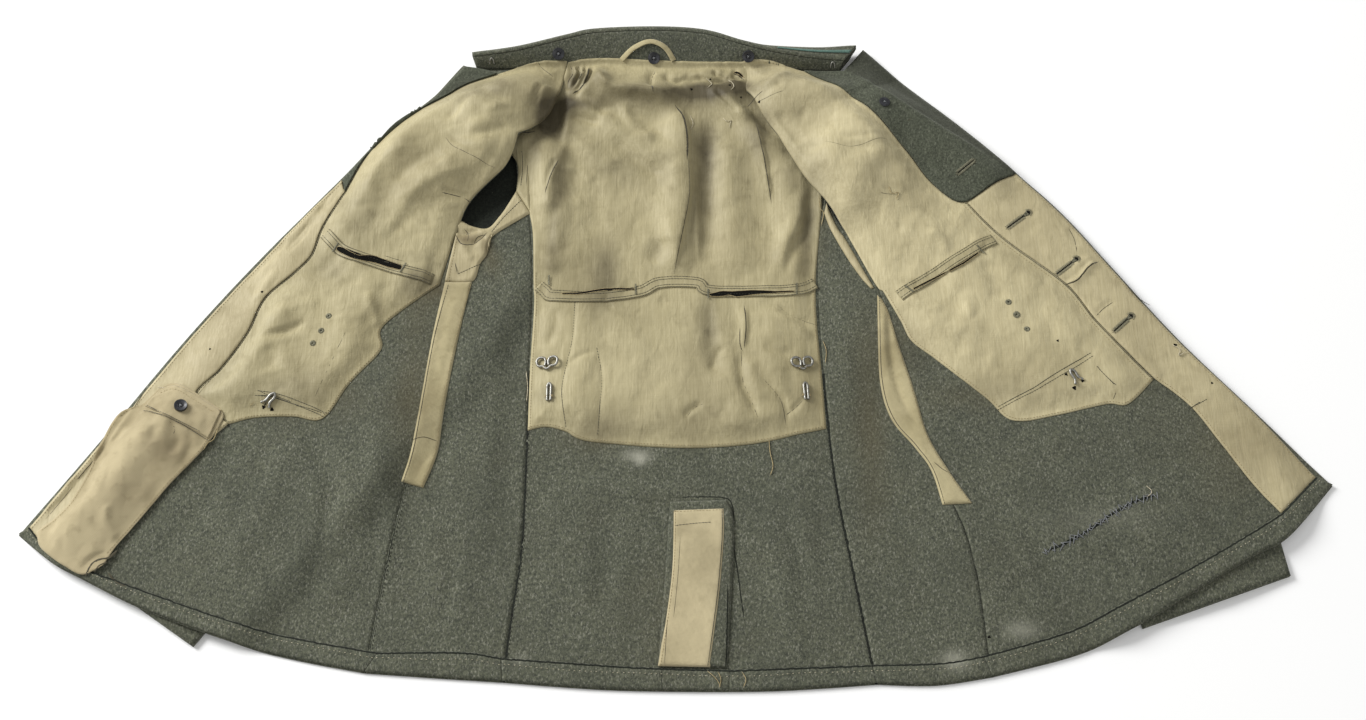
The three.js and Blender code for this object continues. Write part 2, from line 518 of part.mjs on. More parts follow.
// A wall bent over rows of points: half its thickness to each side of them
function bent(rows, wall) {
  const at = (side) => rows.map((row, r) => row.map((p, c) => {
    const along = new THREE.Vector3().subVectors(rows[Math.min(rows.length - 1, r + 1)][c], rows[Math.max(0, r - 1)][c]);
    const across = new THREE.Vector3().subVectors(row[Math.min(row.length - 1, c + 1)], row[Math.max(0, c - 1)]);
    const normal = across.cross(along).normalize();
    return p.clone().addScaledVector(normal, (side * wall) / 2);
  }));
  return facingOut(wallOf(at(-1), at(1)));
}

// Collar: the stand rises from the neck seam to the roll, and the leaf turns over it and goes under the neck
const collarSteps = 20;
const standWall = 2.6;
const heightNear = (x) => (x < neckPoints[0].x ? rightHeight : x > neckPoints[1].x ? leftHeight : bodyHeight);
const neckHeight = (p) => heightNear(p.x)(new THREE.Vector2(p.x, p.y));
const alongCollar = (columns) =>
  new THREE.CatmullRomCurve3(collarRows.map((r) => new THREE.Vector3(...columns.map((c) => r[c] ?? 0)))).getPoints(collarSteps);
const seamLine = alongCollar(["seamX", "seamY", "none"]);
const rollLine = alongCollar(["rollX", "rollY", "rollZ"]);
const spreadLine = alongCollar(["spread", "none", "none"]).map((p) => Math.max(0, p.x));
const standRows = seamLine.map((s, i) => {
  const seam = new THREE.Vector3(s.x, s.y, neckHeight(s) + onWool - standWall / 2);
  const roll = rollLine[i].clone().setZ(Math.max(rollLine[i].z, seam.z + 2));
  return Array.from({ length: 5 }, (_, c) => {
    const p = seam.clone().lerp(roll, c / 4);
    return p.setZ(p.z + 1.6 * Math.sin((Math.PI * c) / 4));
  });
});
add("collar_stand", "wool", bent(standRows, standWall));
const leafSection = table(
  ["outward", "spreadShare", "height"],
  [4.6, 0.55, 0.99],
  [6.4, 1, 0.82],
  [6.6, 1, 0.5],
  [3.5, 0.98, 0.24],
);
const leafRest = leafWall / 2 + 0.05;
const leafRows = standRows.map((row, i) => {
  const roll = row[row.length - 1];
  const rise = new THREE.Vector3().subVectors(roll, row[row.length - 2]).normalize();
  const outward = new THREE.Vector3().subVectors(roll, row[0]).setZ(0).normalize();
  const start = [0.5, 2.4].map((d) => roll.clone().addScaledVector(rise, d));
  const turned = leafSection.map((s) => roll.clone()
    .addScaledVector(outward, s.outward + spreadLine[i] * s.spreadShare)
    .setZ(Math.max(leafRest, leafRest + (roll.z - leafRest) * s.height)));
  const flatPart = [-5, -leafDepth / 2, -leafDepth].map((d) => roll.clone()
    .addScaledVector(outward, d * (1 - 0.25 * (spreadLine[i] / 22)) + spreadLine[i]).setZ(leafRest));
  return [...start, ...turned, ...flatPart];
});
add("collar_leaf", "wool", bent(leafRows, leafWall));

// Places on the laid cloth: the top of a layer at a point in plan, and the way it faces
const up = new THREE.Vector3(0, 0, 1);
function placeOn(height, above, x, y, spin = 0) {
  const reach = 5;
  const at = (px, py) => new THREE.Vector3(px, py, height(new THREE.Vector2(px, py)) + above);
  const alongX = new THREE.Vector3().subVectors(at(x + reach, y), at(x - reach, y));
  const alongY = new THREE.Vector3().subVectors(at(x, y + reach), at(x, y - reach));
  const normal = alongX.cross(alongY).normalize();
  const turn = new THREE.Quaternion().setFromUnitVectors(up, normal)
    .multiply(new THREE.Quaternion().setFromAxisAngle(up, THREE.MathUtils.degToRad(spin)));
  return new THREE.Matrix4().compose(at(x, y), turn, new THREE.Vector3(1, 1, 1));
}
function standPlace(x, share) {
  const nearest = standRows.reduce((best, row) => (Math.abs(row[0].x - x) < Math.abs(best[0].x - x) ? row : best));
  const i = standRows.indexOf(nearest);
  const column = Math.round(share * 4);
  const p = nearest[column];
  const along = new THREE.Vector3().subVectors(standRows[i + 1][column], standRows[i - 1][column]);
  const across = new THREE.Vector3().subVectors(nearest[Math.min(4, column + 1)], nearest[column - 1]);
  const normal = along.cross(across).normalize();
  const turn = new THREE.Quaternion().setFromUnitVectors(up, normal);
  const out = p.clone().addScaledVector(normal, standWall / 2 + seamGap);
  return new THREE.Matrix4().compose(out, turn, new THREE.Vector3(1, 1, 1));
}

// Buttons: a dished disc with a rim
const buttonSides = 12;
const button = { radius: 7.4, rim: 1.5, edge: 2.6, dish: 1.7 };
const smallButton = { radius: 6, rim: 1.2, edge: 2.2, dish: 1.5 };
function buttonGeometry(b) {
  const profile = [
    [0, 0], [b.radius - 1, 0], [b.radius, 0.8], [b.radius, b.edge - 0.5], [b.radius - 0.6, b.edge],
    [b.radius - b.rim, b.edge], [b.radius - b.rim - 0.9, b.dish], [0, b.dish],
  ];
  return new THREE.LatheGeometry(profile.map(([x, y]) => new THREE.Vector2(x, y)), buttonSides).rotateX(Math.PI / 2);
}
const addHardware = (name, material, geometry, matrix) => add(name, material, facingOut(geometry.applyMatrix4(matrix)));
addHardware("collar_button_right", "button", buttonGeometry(button), standPlace(-134, 0.5));
addHardware("collar_button_back", "button", buttonGeometry(button), standPlace(-27, 0.25));
addHardware("collar_button_left", "button", buttonGeometry(button), standPlace(77, 0.5));
addHardware("lapel_button", "button", buttonGeometry(smallButton), placeOn(leftHeight, onFacing + 0.1, 222, 275));
const onBand = onLining + 2 * (liningWall + seamGap);
addHardware("pocket_button", "button", buttonGeometry(button), placeOn(
  (p) => rightHeight(p) + pocketPuff(p), onBand + 0.2, -502, -80,
));

// Wire hooks and loops, bent in the plane of the cloth: x along, y across
const wireOf = (radius, ...points) => {
  const path = new THREE.CatmullRomCurve3(points.map(([x, y, z]) => new THREE.Vector3(x, y, (z ?? 0) + radius)), false, "centripetal");
  const ring = new THREE.Shape(Array.from({ length: 6 }, (_, i) =>
    new THREE.Vector2(radius * Math.cos((Math.PI * i) / 3), radius * Math.sin((Math.PI * i) / 3))));
  return new THREE.ExtrudeGeometry(ring, { extrudePath: path, steps: Math.round(points.length * 1.5), bevelEnabled: false });
};
const doubleLoop = () => wireOf(
  1, [-1.8, -3.4], [-4.4, -6.2], [-9.2, -5.6], [-11.4, -1], [-9.4, 4.6], [-4.6, 5.6], [0, 3.4],
  [4.6, 5.6], [9.4, 4.6], [11.4, -1], [9.2, -5.6], [4.4, -6.2], [1.8, -3.4],
);
const longLoop = () => wireOf(1, [-1.6, -9.5], [-3.4, -6], [-3.4, 5], [0, 9.5], [3.4, 5], [3.4, -6], [1.6, -9.5]);
const frontHook = () => wireOf(1, [-5, -6.5], [-2.2, -2.2], [-1.4, 5], [1.2, 8.6], [3.6, 5], [2.8, -2.2], [5.4, -6.5]);
const smallHook = () => wireOf(0.6, [-2.4, -3.2], [-1.7, 1.4], [0, 3.6], [1.7, 1.4], [2.4, -3.2]);
const onCloth = onLining + 0.8;
const backTopAt = (p) => bodyHeight(p) + puffBack(p);
addHardware("belt_loop_right", "steel", doubleLoop(), placeOn(backTopAt, onCloth, -135, -27));
addHardware("belt_loop_left", "steel", doubleLoop(), placeOn(backTopAt, onCloth, 126, -27));
addHardware("belt_bar_right", "steel", longLoop(), placeOn(backTopAt, onCloth, -132, -60));
addHardware("belt_bar_left", "steel", longLoop(), placeOn(backTopAt, onCloth, 129, -59));
const rightTopAt = (p) => rightHeight(p) + puffRight(p);
const leftTopAt = (p) => leftHeight(p) + puffLeft(p);
addHardware("front_hook_right", "steel", frontHook(), placeOn(rightTopAt, onCloth - 0.7, -415, -71, -34));
addHardware("front_hook_left", "steel", frontHook(), placeOn(leftTopAt, onCloth, 402, -47, 34));

// The hanger loop, an arch of cord on the inside of the stand
const hangerCurve = new THREE.SplineCurve(flat(hangerLoopRun));
const hangerWall = 1.2;
const hangerRows = hangerCurve.getPoints(14).map((p, i, all) => {
  const a = all[Math.max(0, i - 1)];
  const b = all[Math.min(all.length - 1, i + 1)];
  const across = new THREE.Vector2(-(b.y - a.y), b.x - a.x).setLength(hangerLoopWidth / 2);
  return [-1, 0, 1].map((side) => {
    const q = p.clone().addScaledVector(across, side);
    return new THREE.Vector3(q.x, q.y, standTop(q) + standWall / 2 + seamGap + hangerWall / 2 + 0.8);
  });
});
function standTop(q) {
  const nearest = standRows.reduce((best, row) => (Math.abs(row[0].x - q.x) < Math.abs(best[0].x - q.x) ? row : best));
  const t = THREE.MathUtils.clamp((q.y - nearest[0].y) / (nearest[4].y - nearest[0].y), 0, 1);
  const c = Math.min(3, Math.floor(t * 4));
  return THREE.MathUtils.lerp(nearest[c].z, nearest[c + 1].z, t * 4 - c);
}
add("hanger_loop", "cotton", bent(hangerRows, hangerWall));

// The plain tape on the leaf, where the leaf stands out past the stand
const tapeFrom = 16;
const collarTape = leafRows.slice(tapeFrom, collarSteps).map((row) =>
  [row[2].clone().lerp(row[1], 0.3), row[2].clone(), row[2].clone().lerp(row[3], 0.15)]
    .map((p) => p.setZ(p.z + leafWall / 2 + tapeWall / 2 + seamGap + 0.5)));
add("collar_tape", "tape", bent(collarTape, tapeWall));
addHardware("collar_hook", "steel", smallHook(), standPlace(-206, 0.5));
addHardware("collar_eye", "steel", smallHook(), standPlace(166, 0.5));

// The origin goes under the middle of the whole
const whole = new THREE.Box3().setFromObject(tunic);
const middle = whole.getCenter(new THREE.Vector3()).setZ(whole.min.z);
tunic.children.forEach((mesh) => mesh.geometry.translate(-middle.x, -middle.y, -middle.z));

export default tunic;
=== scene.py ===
# A wool military tunic laid open on a table, inside up. Metres, in the CAD's frame.
import math
import bpy
import numpy as np
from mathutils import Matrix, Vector


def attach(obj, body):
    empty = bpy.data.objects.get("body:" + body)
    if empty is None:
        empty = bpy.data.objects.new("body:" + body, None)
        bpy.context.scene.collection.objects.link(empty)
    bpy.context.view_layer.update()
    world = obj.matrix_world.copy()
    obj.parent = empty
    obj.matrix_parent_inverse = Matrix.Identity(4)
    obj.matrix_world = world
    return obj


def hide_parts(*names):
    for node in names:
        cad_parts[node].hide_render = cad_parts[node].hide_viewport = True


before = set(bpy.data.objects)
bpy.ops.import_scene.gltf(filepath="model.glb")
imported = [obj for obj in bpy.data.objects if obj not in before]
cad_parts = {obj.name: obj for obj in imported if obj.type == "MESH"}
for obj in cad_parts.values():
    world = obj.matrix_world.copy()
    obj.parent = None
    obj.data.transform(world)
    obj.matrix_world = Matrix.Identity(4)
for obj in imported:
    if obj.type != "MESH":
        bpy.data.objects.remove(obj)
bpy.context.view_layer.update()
scene = bpy.context.scene
print("frame loaded:", len(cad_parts), "nodes")

# camera, light, floor
view = {"target": (0.0035, -0.0247, 0.0), "distance": 1.954, "elevation": 65.0, "lens": 50.0, "sensor": 36.0}


def makeCamera(s):
    # looks at the target from the hem side, at the photograph's angle above the table
    elev = math.radians(s["elevation"])
    target = Vector(s["target"])
    eye = target + Vector((0, -math.cos(elev), math.sin(elev))) * s["distance"]
    data = bpy.data.cameras.new("camera")
    data.lens = s["lens"]
    data.sensor_width = s["sensor"]
    obj = bpy.data.objects.new("camera", data)
    obj.location = eye
    obj.rotation_euler = (target - eye).to_track_quat("-Z", "Y").to_euler()
    scene.collection.objects.link(obj)
    scene.camera = obj


makeCamera(view)


def toLinear(hexColour):
    # sRGB hex to linear RGBA
    parts = [int(hexColour[i:i + 2], 16) / 255 for i in (1, 3, 5)]
    return tuple(c / 12.92 if c <= 0.04045 else ((c + 0.055) / 1.055) ** 2.4 for c in parts) + (1.0,)


def addNode(tree, kind, inputs=None, settings=None):
    # one node: each input is a value, a hex colour or the output that feeds it
    node = tree.nodes.new("ShaderNode" + kind)
    for key, value in (settings or {}).items():
        setattr(node, key, value)
    for key, value in (inputs or {}).items():
        if isinstance(value, bpy.types.NodeSocket):
            tree.links.new(value, node.inputs[key])
        else:
            node.inputs[key].default_value = toLinear(value) if isinstance(value, str) else value
    return node


usualSettings = {"Mix": {"data_type": "RGBA"}, "MapRange": {"interpolation_type": "SMOOTHSTEP"}}


def makeMaterial(name, steps):
    # steps: a node's own name, its kind, its inputs and its settings. An input that names an earlier
    # node takes its first output, or the one after the dot. The last step is the shader.
    material = bpy.data.materials.new(name)
    material.use_nodes = True
    tree = material.node_tree
    tree.nodes.clear()
    coords = addNode(tree, "TexCoord").outputs["Object"]
    made = {}
    for own, kind, inputs, *settings in steps:
        fed = {"Vector": coords} if kind in ("TexNoise", "Mapping") else {}
        if kind == "TexNoise":
            fed["Roughness"] = 0.55
        for key, value in inputs.items():
            if isinstance(value, str) and not value.startswith("#"):
                source, _, output = value.partition(".")
                value = made[source].outputs[int(output) if output.isdigit() else output or 0]
            fed[key] = value
        made[own] = addNode(tree, kind, fed, settings[0] if settings else usualSettings.get(kind))
    addNode(tree, "OutputMaterial", {"Surface": made[own].outputs[0]})
    return material


lights = {
    "world": ("#ffffff", 0.48),
    "key": {"place": (-4.0, 2.4, 2.6), "size": 2.6, "power": 392.0},
    "fill": {"place": (2.6, -2.4, 3.0), "size": 3.0, "power": 30.0},
}
scene.view_settings.view_transform = "Standard"


def makeLights(s):
    world = bpy.data.worlds.new("studio")
    world.use_nodes = True
    background = world.node_tree.nodes["Background"]
    background.inputs[0].default_value = toLinear(s["world"][0])
    background.inputs[1].default_value = s["world"][1]
    scene.world = world
    for name in ("key", "fill"):
        data = bpy.data.lights.new(name, "AREA")
        data.shape = "DISK"
        data.size = s[name]["size"]
        data.energy = s[name]["power"]
        obj = bpy.data.objects.new(name, data)
        obj.location = s[name]["place"]
        obj.rotation_euler = (-Vector(s[name]["place"])).to_track_quat("-Z", "Y").to_euler()
        scene.collection.objects.link(obj)


def makeFloor():
    mesh = bpy.data.meshes.new("floor")
    reach = 6.0
    corners = [(-reach, -reach, 0), (reach, -reach, 0), (reach, reach, 0), (-reach, reach, 0)]
    mesh.from_pydata(corners, [], [(0, 1, 2, 3)])
    obj = bpy.data.objects.new("floor", mesh)
    scene.collection.objects.link(obj)
    material = makeMaterial("pale studio paper", (
        ("shader", "BsdfPrincipled", {"Base Color": "#f7f7f6", "Roughness": 0.9}),))
    mesh.materials.append(material)


makeLights(lights)
makeFloor()

# plan geometry, in millimetres
originShift = np.array([-0.5, -4.69])  # from the laid plan to the frame's origin, mm
layers = {"wool": 2.0, "lining": 1.0, "tape": 0.8, "gap": 0.3}
onWool = layers["wool"] + layers["gap"]
onLining = onWool + layers["lining"] + layers["gap"]
onFacing = onWool + layers["wool"] + layers["gap"]


def run(*points):
    # a seam through its points: a Catmull-Rom curve, then points every 3 mm
    p = np.array(points, float)
    if len(p) == 2:
        count = max(2, int(np.linalg.norm(p[1] - p[0]) / 3) + 1)
        return p[0] + (p[1] - p[0]) * np.linspace(0, 1, count)[:, None]
    before = np.vstack([p[:1], p[:-1]])
    after = np.vstack([p[2:], p[-1:]])
    t = np.linspace(0, 1, 25)[:, None]
    pieces = []
    for i in range(len(p) - 1):
        p0, p1, p2, p3 = before[i], p[i], p[i + 1], after[min(i, len(after) - 1)]
        v0, v1 = (p2 - p0) / 2, (p3 - p1) / 2
        cubic, square = 2 * p1 - 2 * p2 + v0 + v1, -3 * p1 + 3 * p2 - 2 * v0 - v1
        pieces.append(cubic * t ** 3 + square * t ** 2 + v0 * t + p1)
    line = np.vstack([c[:-1] for c in pieces] + [p[-1:]])
    return spaced(line, max(2, int(lengthOf(line) / 3) + 1))


def lengthOf(line):
    return float(np.linalg.norm(np.diff(line, axis=0), axis=1).sum())


def spaced(line, count):
    # the same curve with evenly spaced points
    steps = np.concatenate([[0], np.cumsum(np.linalg.norm(np.diff(line, axis=0), axis=1))])
    at = np.linspace(0, steps[-1], count)
    return np.stack([np.interp(at, steps, line[:, k]) for k in range(line.shape[1])], axis=1)


def unit(vectors):
    return vectors / np.maximum(np.linalg.norm(vectors, axis=-1, keepdims=True), 1e-9)


def leftOf(line):
    # the direction square to a run, to its left
    tangent = unit(np.gradient(line, axis=0))
    return np.column_stack([-tangent[:, 1], tangent[:, 0]])


def chain(*runs):
    return np.vstack([r if i == 0 else r[1:] for i, r in enumerate(runs)])


def back(line):
    return line[::-1]


def nearest(points, line):
    # distance to a polyline, which side of it, and the share of its length there
    a, b = line[:-1], line[1:]
    ab = b - a
    length = np.maximum((ab ** 2).sum(1), 1e-9)
    steps = np.concatenate([[0], np.cumsum(np.sqrt(length))])
    best, side, share = np.empty(len(points)), np.empty(len(points)), np.empty(len(points))
    chunk = max(1, 400000 // len(a))
    for start in range(0, len(points), chunk):
        part = slice(start, start + chunk)
        dx = points[part, 0][:, None] - a[None, :, 0]
        dy = points[part, 1][:, None] - a[None, :, 1]
        t = np.clip((dx * ab[:, 0] + dy * ab[:, 1]) / length, 0, 1)
        d2 = (dx - t * ab[:, 0]) ** 2 + (dy - t * ab[:, 1]) ** 2
        i = d2.argmin(1)
        row = np.arange(len(i))
        best[part] = np.sqrt(d2[row, i])
        side[part] = np.where(ab[i, 0] * dy[row, i] - ab[i, 1] * dx[row, i] >= 0, 1, -1)
        share[part] = (steps[i] + t[row, i] * (steps[i + 1] - steps[i])) / steps[-1]
    return best, side, share


def insideOf(points, outline):
    x, y = points[:, 0], points[:, 1]
    inside = np.zeros(len(points), bool)
    for a, b in zip(outline, np.roll(outline, -1, axis=0)):
        if a[1] == b[1]:
            continue
        crosses = ((a[1] > y) != (b[1] > y)) & (x < (b[0] - a[0]) * (y - a[1]) / (b[1] - a[1]) + a[0])
        inside ^= crosses
    return inside


def outsideBy(points, outline):
    d, _, _ = nearest(points, np.vstack([outline, outline[:1]]))
    return np.where(insideOf(points, outline), 0, d)


def fade(distance, reach):
    # 1 near, easing to 0 at the reach
    t = np.clip(1 - distance / reach, 0, 1)
    return t * t * (3 - 2 * t)


# seams and edges, hem to collar
frontEdgeRight = run((-651, -212), (-584, -112), (-508, 5), (-438, 101), (-362, 192), (-321, 245), (-271, 297),
    (-239, 337))
frontEdgeLeft = run((652, -160), (582, -79), (515, -1), (455, 83), (409, 147), (363, 196), (276, 285), (204, 358))
hemRight = run((-651, -212), (-613, -242), (-579, -260), (-515, -291), (-426, -323), (-363, -339), (-300, -351))
hemSideRight = run((-300, -351), (-230, -356), (-168, -360))
hemBack = run((-168, -360), (-75, -367), (15, -369), (100, -368), (189, -362))
hemSideLeft = run((189, -362), (245, -363), (299, -355))
hemLeft = run((299, -355), (383, -333), (442, -306), (497, -274), (562, -236), (600, -215), (652, -160))
sideSeamRight = run((-168, -360), (-163, -298), (-155, -219), (-154, -101), (-154, -32), (-153, 60), (-157, 125),
    (-162, 165))
sideSeamLeft = run((189, -362), (173, -261), (157, -155), (150, -60), (146, 20), (146, 90), (150, 135), (155, 165))
frontSeamRight = run((-300, -351), (-285, -230), (-264, -111), (-254, -30), (-243, 63), (-236, 122))
frontSeamLeft = run((299, -355), (287, -230), (252, -125), (225, -40), (210, 50), (190, 95), (172, 130))
backArmholeRight = run((-162, 165), (-173, 178), (-174, 196), (-179, 222), (-200, 255))
backArmholeLeft = run((155, 165), (160, 200), (172, 232), (190, 255))
sideArmholeRight = run((-236, 122), (-203, 128), (-177, 156), (-162, 165))
sideArmholeLeft = run((155, 165), (172, 130))
frontArmholeRight = run((-236, 122), (-222, 158), (-189, 193), (-178, 215), (-173, 237))
frontArmholeLeft = run((172, 130), (157, 155), (137, 184), (123, 209), (106, 241))
shoulderRight = run((-173, 237), (-159, 246), (-140, 268), (-130, 296))
shoulderLeft = run((106, 241), (92, 262), (81, 285), (73, 300))
shoulderNeckRight = run((-130, 296), (-124, 331))
shoulderNeckLeft = run((73, 300), (71, 331))
backShoulderRight = run((-200, 255), (-165, 272), (-130, 296))
backShoulderLeft = run((190, 255), (140, 278), (73, 300))
neckRight = run((-124, 331), (-178, 331), (-215, 330), (-239, 337))
neckLeft = run((71, 331), (100, 332), (138, 328), (180, 324), (204, 358))
neckBack = run((-124, 331), (-88, 335), (-25, 331), (27, 329), (71, 331))
liningRightFacing = run((-454, -96), (-491, -65), (-469, -35), (-446, 5), (-432, 45), (-404, 75), (-387, 97),
    (-378, 128), (-357, 173))
liningRightLower = run((-454, -96), (-428, -89), (-390, -88), (-360, -90), (-336, -52), (-306, -13), (-305, 15),
    (-250, 62))
liningRightTop = run((-357, 173), (-343, 209), (-325, 238), (-297, 270), (-244, 305), (-201, 324))
liningRightNeck = run((-201, 324), (-178, 333), (-150, 338), (-124, 339))
liningRightUnderarm = run((-236, 122), (-240, 105), (-250, 62))
liningLeftNeck = run((71, 339), (100, 338), (138, 327))
liningLeftTop = run((138, 327), (166, 306), (190, 284), (217, 257), (247, 219), (269, 186), (292, 163), (306, 161))
liningLeftFacing = run((306, 161), (343, 117), (404, 63), (432, 20), (466, -24), (484, -46))
liningLeftLower = run((484, -46), (455, -74), (433, -74), (385, -86), (337, -92), (311, -67), (263, -24), (239, -3),
    (229, 20), (212, 55))
liningLeftUnderarm = run((212, 55), (205, 62), (180, 116), (172, 130))
backLiningLower = run((-153, -100), (-135, -96), (-115, -101), (-90, -112), (1, -119), (71, -115), (122, -104),
    (149, -98))
backLiningRight = run((-153, -100), (-153, -32), (-151, 40), (-152, 62), (-155, 125), (-163, 163), (-170, 200),
    (-186, 234), (-172, 264), (-150, 292), (-132, 312), (-123, 338))
backLiningLeft = run((149, -98), (146, -32), (143, 20), (143, 70), (149, 130), (153, 175), (152, 230), (128, 272),
    (96, 302), (72, 338))
backLiningNeck = run((-123, 338), (-88, 343), (-25, 340), (27, 338), (72, 338))
facingRightEdge = run((-641, -204), (-581, -114), (-505, 3), (-435, 99), (-362, 188))
facingRightUnder = run((-572, -252), (-546, -214), (-508, -159), (-480, -122), (-454, -96))
facingLeftUnder = run((484, -46), (518, -77), (545, -120), (570, -161), (594, -192))
facingLeftEdge = run((636, -151), (581, -81), (513, -2), (453, 82), (407, 146), (361, 195))
hemTopRight = run((-641, -204), (-622, -226), (-600, -243), (-572, -252))
hemInnerRight = run((-572, -252), (-522, -270), (-411, -307), (-288, -331))
hemInnerSideRight = run((-288, -331), (-209, -330), (-170, -336))
hemInnerBackRight = run((-170, -336), (-90, -342), (-18, -346), (49, -348))
hemInnerBackLeft = run((49, -348), (110, -346), (185, -343))
hemInnerSideLeft = run((185, -343), (251, -341), (292, -334))
hemInnerLeft = run((292, -334), (372, -311), (435, -281), (520, -236), (594, -192))
hemTopLeft = run((594, -192), (636, -151))
sleeveRightOuter = run((-236, 256), (-298, 222), (-338, 168), (-374, 104), (-430, 8), (-490, -82), (-549, -172),
    (-592, -240))
sleeveRightInner = run((-192, 226), (-177, 184), (-172, 120), (-192, 58), (-250, -42), (-330, -150), (-410, -248),
    (-467, -325))
sleeveLeftOuter = run((228, 262), (292, 232), (340, 180), (385, 115), (450, 30), (520, -60), (576, -150),
    (597, -254))
sleeveLeftInner = run((190, 224), (182, 188), (180, 128), (196, 60), (268, -42), (350, -130), (418, -215),
    (448, -307))

# heights of the laid cloth
meshSteps = {"wool": 4.5, "hem": 2.6, "lining": 2.2, "facing": 2.4, "small": 2.0, "casing": 1.8, "band": 1.6}
laid = {
    "sleeveStack": 7.5, "leafWall": 3.2, "backStack": 7.0, "drape": 42.0, "tuck": 18.0, "edgeRoll": 34.0,
    "neckReach": 46.0,
}
sleeveRight = np.vstack([spaced(sleeveRightOuter, 30), spaced(back(sleeveRightInner), 30)])
sleeveLeft = np.vstack([spaced(sleeveLeftOuter, 30), spaced(back(sleeveLeftInner), 30)])
leafOutline = np.array([(-226, 345), (-124, 365), (-25, 374), (27, 369), (100, 352), (181, 345), (186, 322),
    (100, 316), (27, 322), (-25, 326), (-124, 318), (-220, 322)], float)
backTop = np.array([(-168, 180), (-200, 255), (-130, 296), (73, 300), (190, 255), (160, 170)], float)
bodyEdge = spaced(chain(back(frontEdgeRight), hemRight, hemSideRight, hemBack, hemSideLeft, hemLeft, frontEdgeLeft,
    back(neckLeft), back(neckBack), neckRight), 260)
neckPoints = np.array([(-124, 331), (71, 331)], float)

# long soft ridges that the solids share: from, to, reach to each side, height
skirtFolds = ((-300, -70, -350, -250, 55, 3.2), (-205, -60, -225, -290, 45, 2.6), (230, -130, 330, -290, 60, 4.2),
    (400, -110, 470, -215, 55, 3), (-60, -150, -95, -320, 55, 2.4), (120, -140, 110, -320, 50, 2.2))
shoulderFoldsRight = ((-175, 262, -235, 200, 92, 11), (-160, 296, -215, 285, 50, 6), (-250, 235, -345, 130, 62, 5))
shoulderFoldsLeft = ((118, 272, 190, 200, 88, 11), (105, 296, 150, 290, 45, 6), (186, 308, 335, 198, 44, 11))
liningFoldsRight = ((-190, 300, -300, 225, 34, 5), (-300, 225, -375, 140, 30, 3), (-215, 215, -290, 165, 30, 4),
    (-330, 60, -345, -40, 34, 3), (-420, 20, -450, -60, 26, 3))
liningFoldsLeft = ((150, 300, 255, 205, 32, 4), (160, 210, 260, 120, 34, 5), (300, 70, 380, -40, 40, 3),
    (240, 40, 300, 10, 26, 3))
backLiningFolds = ((-95, 310, -20, 292, 30, 7), (-100, 292, -30, 222, 28, 5), (-136, 225, -138, 95, 26, 6),
    (-4, 262, -4, 92, 24, 5), (55, 295, 98, 225, 26, 5), (116, 200, 118, 90, 26, 5), (55, 215, 60, 95, 30, 3),
    (-98, 25, -104, -80, 26, 3), (30, 30, 62, -90, 30, 3), (98, 20, 92, -80, 26, 3))
pocketFolds = ((-515, -95, -590, -205, 40, 4),)


def foldHeight(p, folds):
    total = np.zeros(len(p))
    for x0, y0, x1, y1, reach, height in folds:
        total += height * fade(nearest(p, np.array([(x0, y0), (x1, y1)], float))[0], reach)
    return total


photo = {"width": 1366, "height": 720, "middle": (4, -20)}  # pixels, and the laid plan's point at its middle


def fromPhoto(pixel, height):
    # the laid plan's point under a pixel of the photograph, for cloth at a height in mm
    elev = math.radians(view["elevation"])
    distance = view["distance"] * 1000
    focal = view["lens"] / view["sensor"] * photo["width"]
    across, down = pixel[0] - photo["width"] / 2, pixel[1] - photo["height"] / 2
    ray = np.array([across, focal * math.cos(elev) - down * math.sin(elev),
        -focal * math.sin(elev) - down * math.cos(elev)])
    eye = np.array([0, -distance * math.cos(elev), distance * math.sin(elev)])
    return (eye + ray * (height - eye[2]) / ray[2])[:2] + np.array(photo["middle"])


def creaseHeight(p, creases):
    # each crease: its run, its width to the left and to the right of it in mm, and its height.
    # Across it falls off as a bell, and along it it fades at both ends.
    total = np.zeros(len(p))
    for line, left, right, rise in creases:
        reach = 2.6 * max(left, right)
        close = np.flatnonzero(((p > line.min(0) - reach) & (p < line.max(0) + reach)).all(1))
        if not len(close):
            continue
        d, side, share = nearest(p[close], line)
        width = np.where(side > 0, left, right)
        taper = np.clip(np.minimum(share, 1 - share) * 4 + 0.12, 0, 1)
        total[close] += rise * np.exp(-(d / width) ** 2) * taper * taper * (3 - 2 * taper)
    return total


# soft waves with no pattern to them: sines in turned directions, each bent by the one before
def ripple(p, size, seed):
    generator = np.random.default_rng(seed)
    total = np.zeros(len(p))
    bend = np.zeros(len(p))
    for k in range(5):
        turn = generator.uniform(0, 2 * np.pi)
        wave = size * generator.uniform(0.6, 1.7)
        phase = (p[:, 0] * math.cos(turn) + p[:, 1] * math.sin(turn)) * 2 * np.pi / wave + generator.uniform(0, 6.3)
        bend = np.sin(phase + 1.3 * bend)
        total += bend
    return total / 5


# creases and lines are placed on enlargements of the photograph: each is its left, top and scale
enlarged = {"right": (230, 50, 4.127), "back": (520, 50, 3.919), "left": (740, 40, 3.409), "low": (0, 380, 4.126),
    "vent": (620, 490, 7.46), "whole": (0, 0, 1.0)}


def fromEnlarged(area, line, height):
    # pixels of an enlargement to points of the laid plan, for cloth at one height in mm
    x, y, scale = enlarged[area]
    return np.array([fromPhoto((x + px / scale, y + py / scale), height) for px, py in line])


def creasesOn(area, height, *creases):
    # the creases of an area, for cloth lying at that height in mm: width to the left, to the right,
    # rise, and the pixels x, y of its points
    return tuple(
        (run(*fromEnlarged(area, np.reshape(line, (-1, 2)), height))[::2], left, right, rise)
        for left, right, rise, *line in creases)


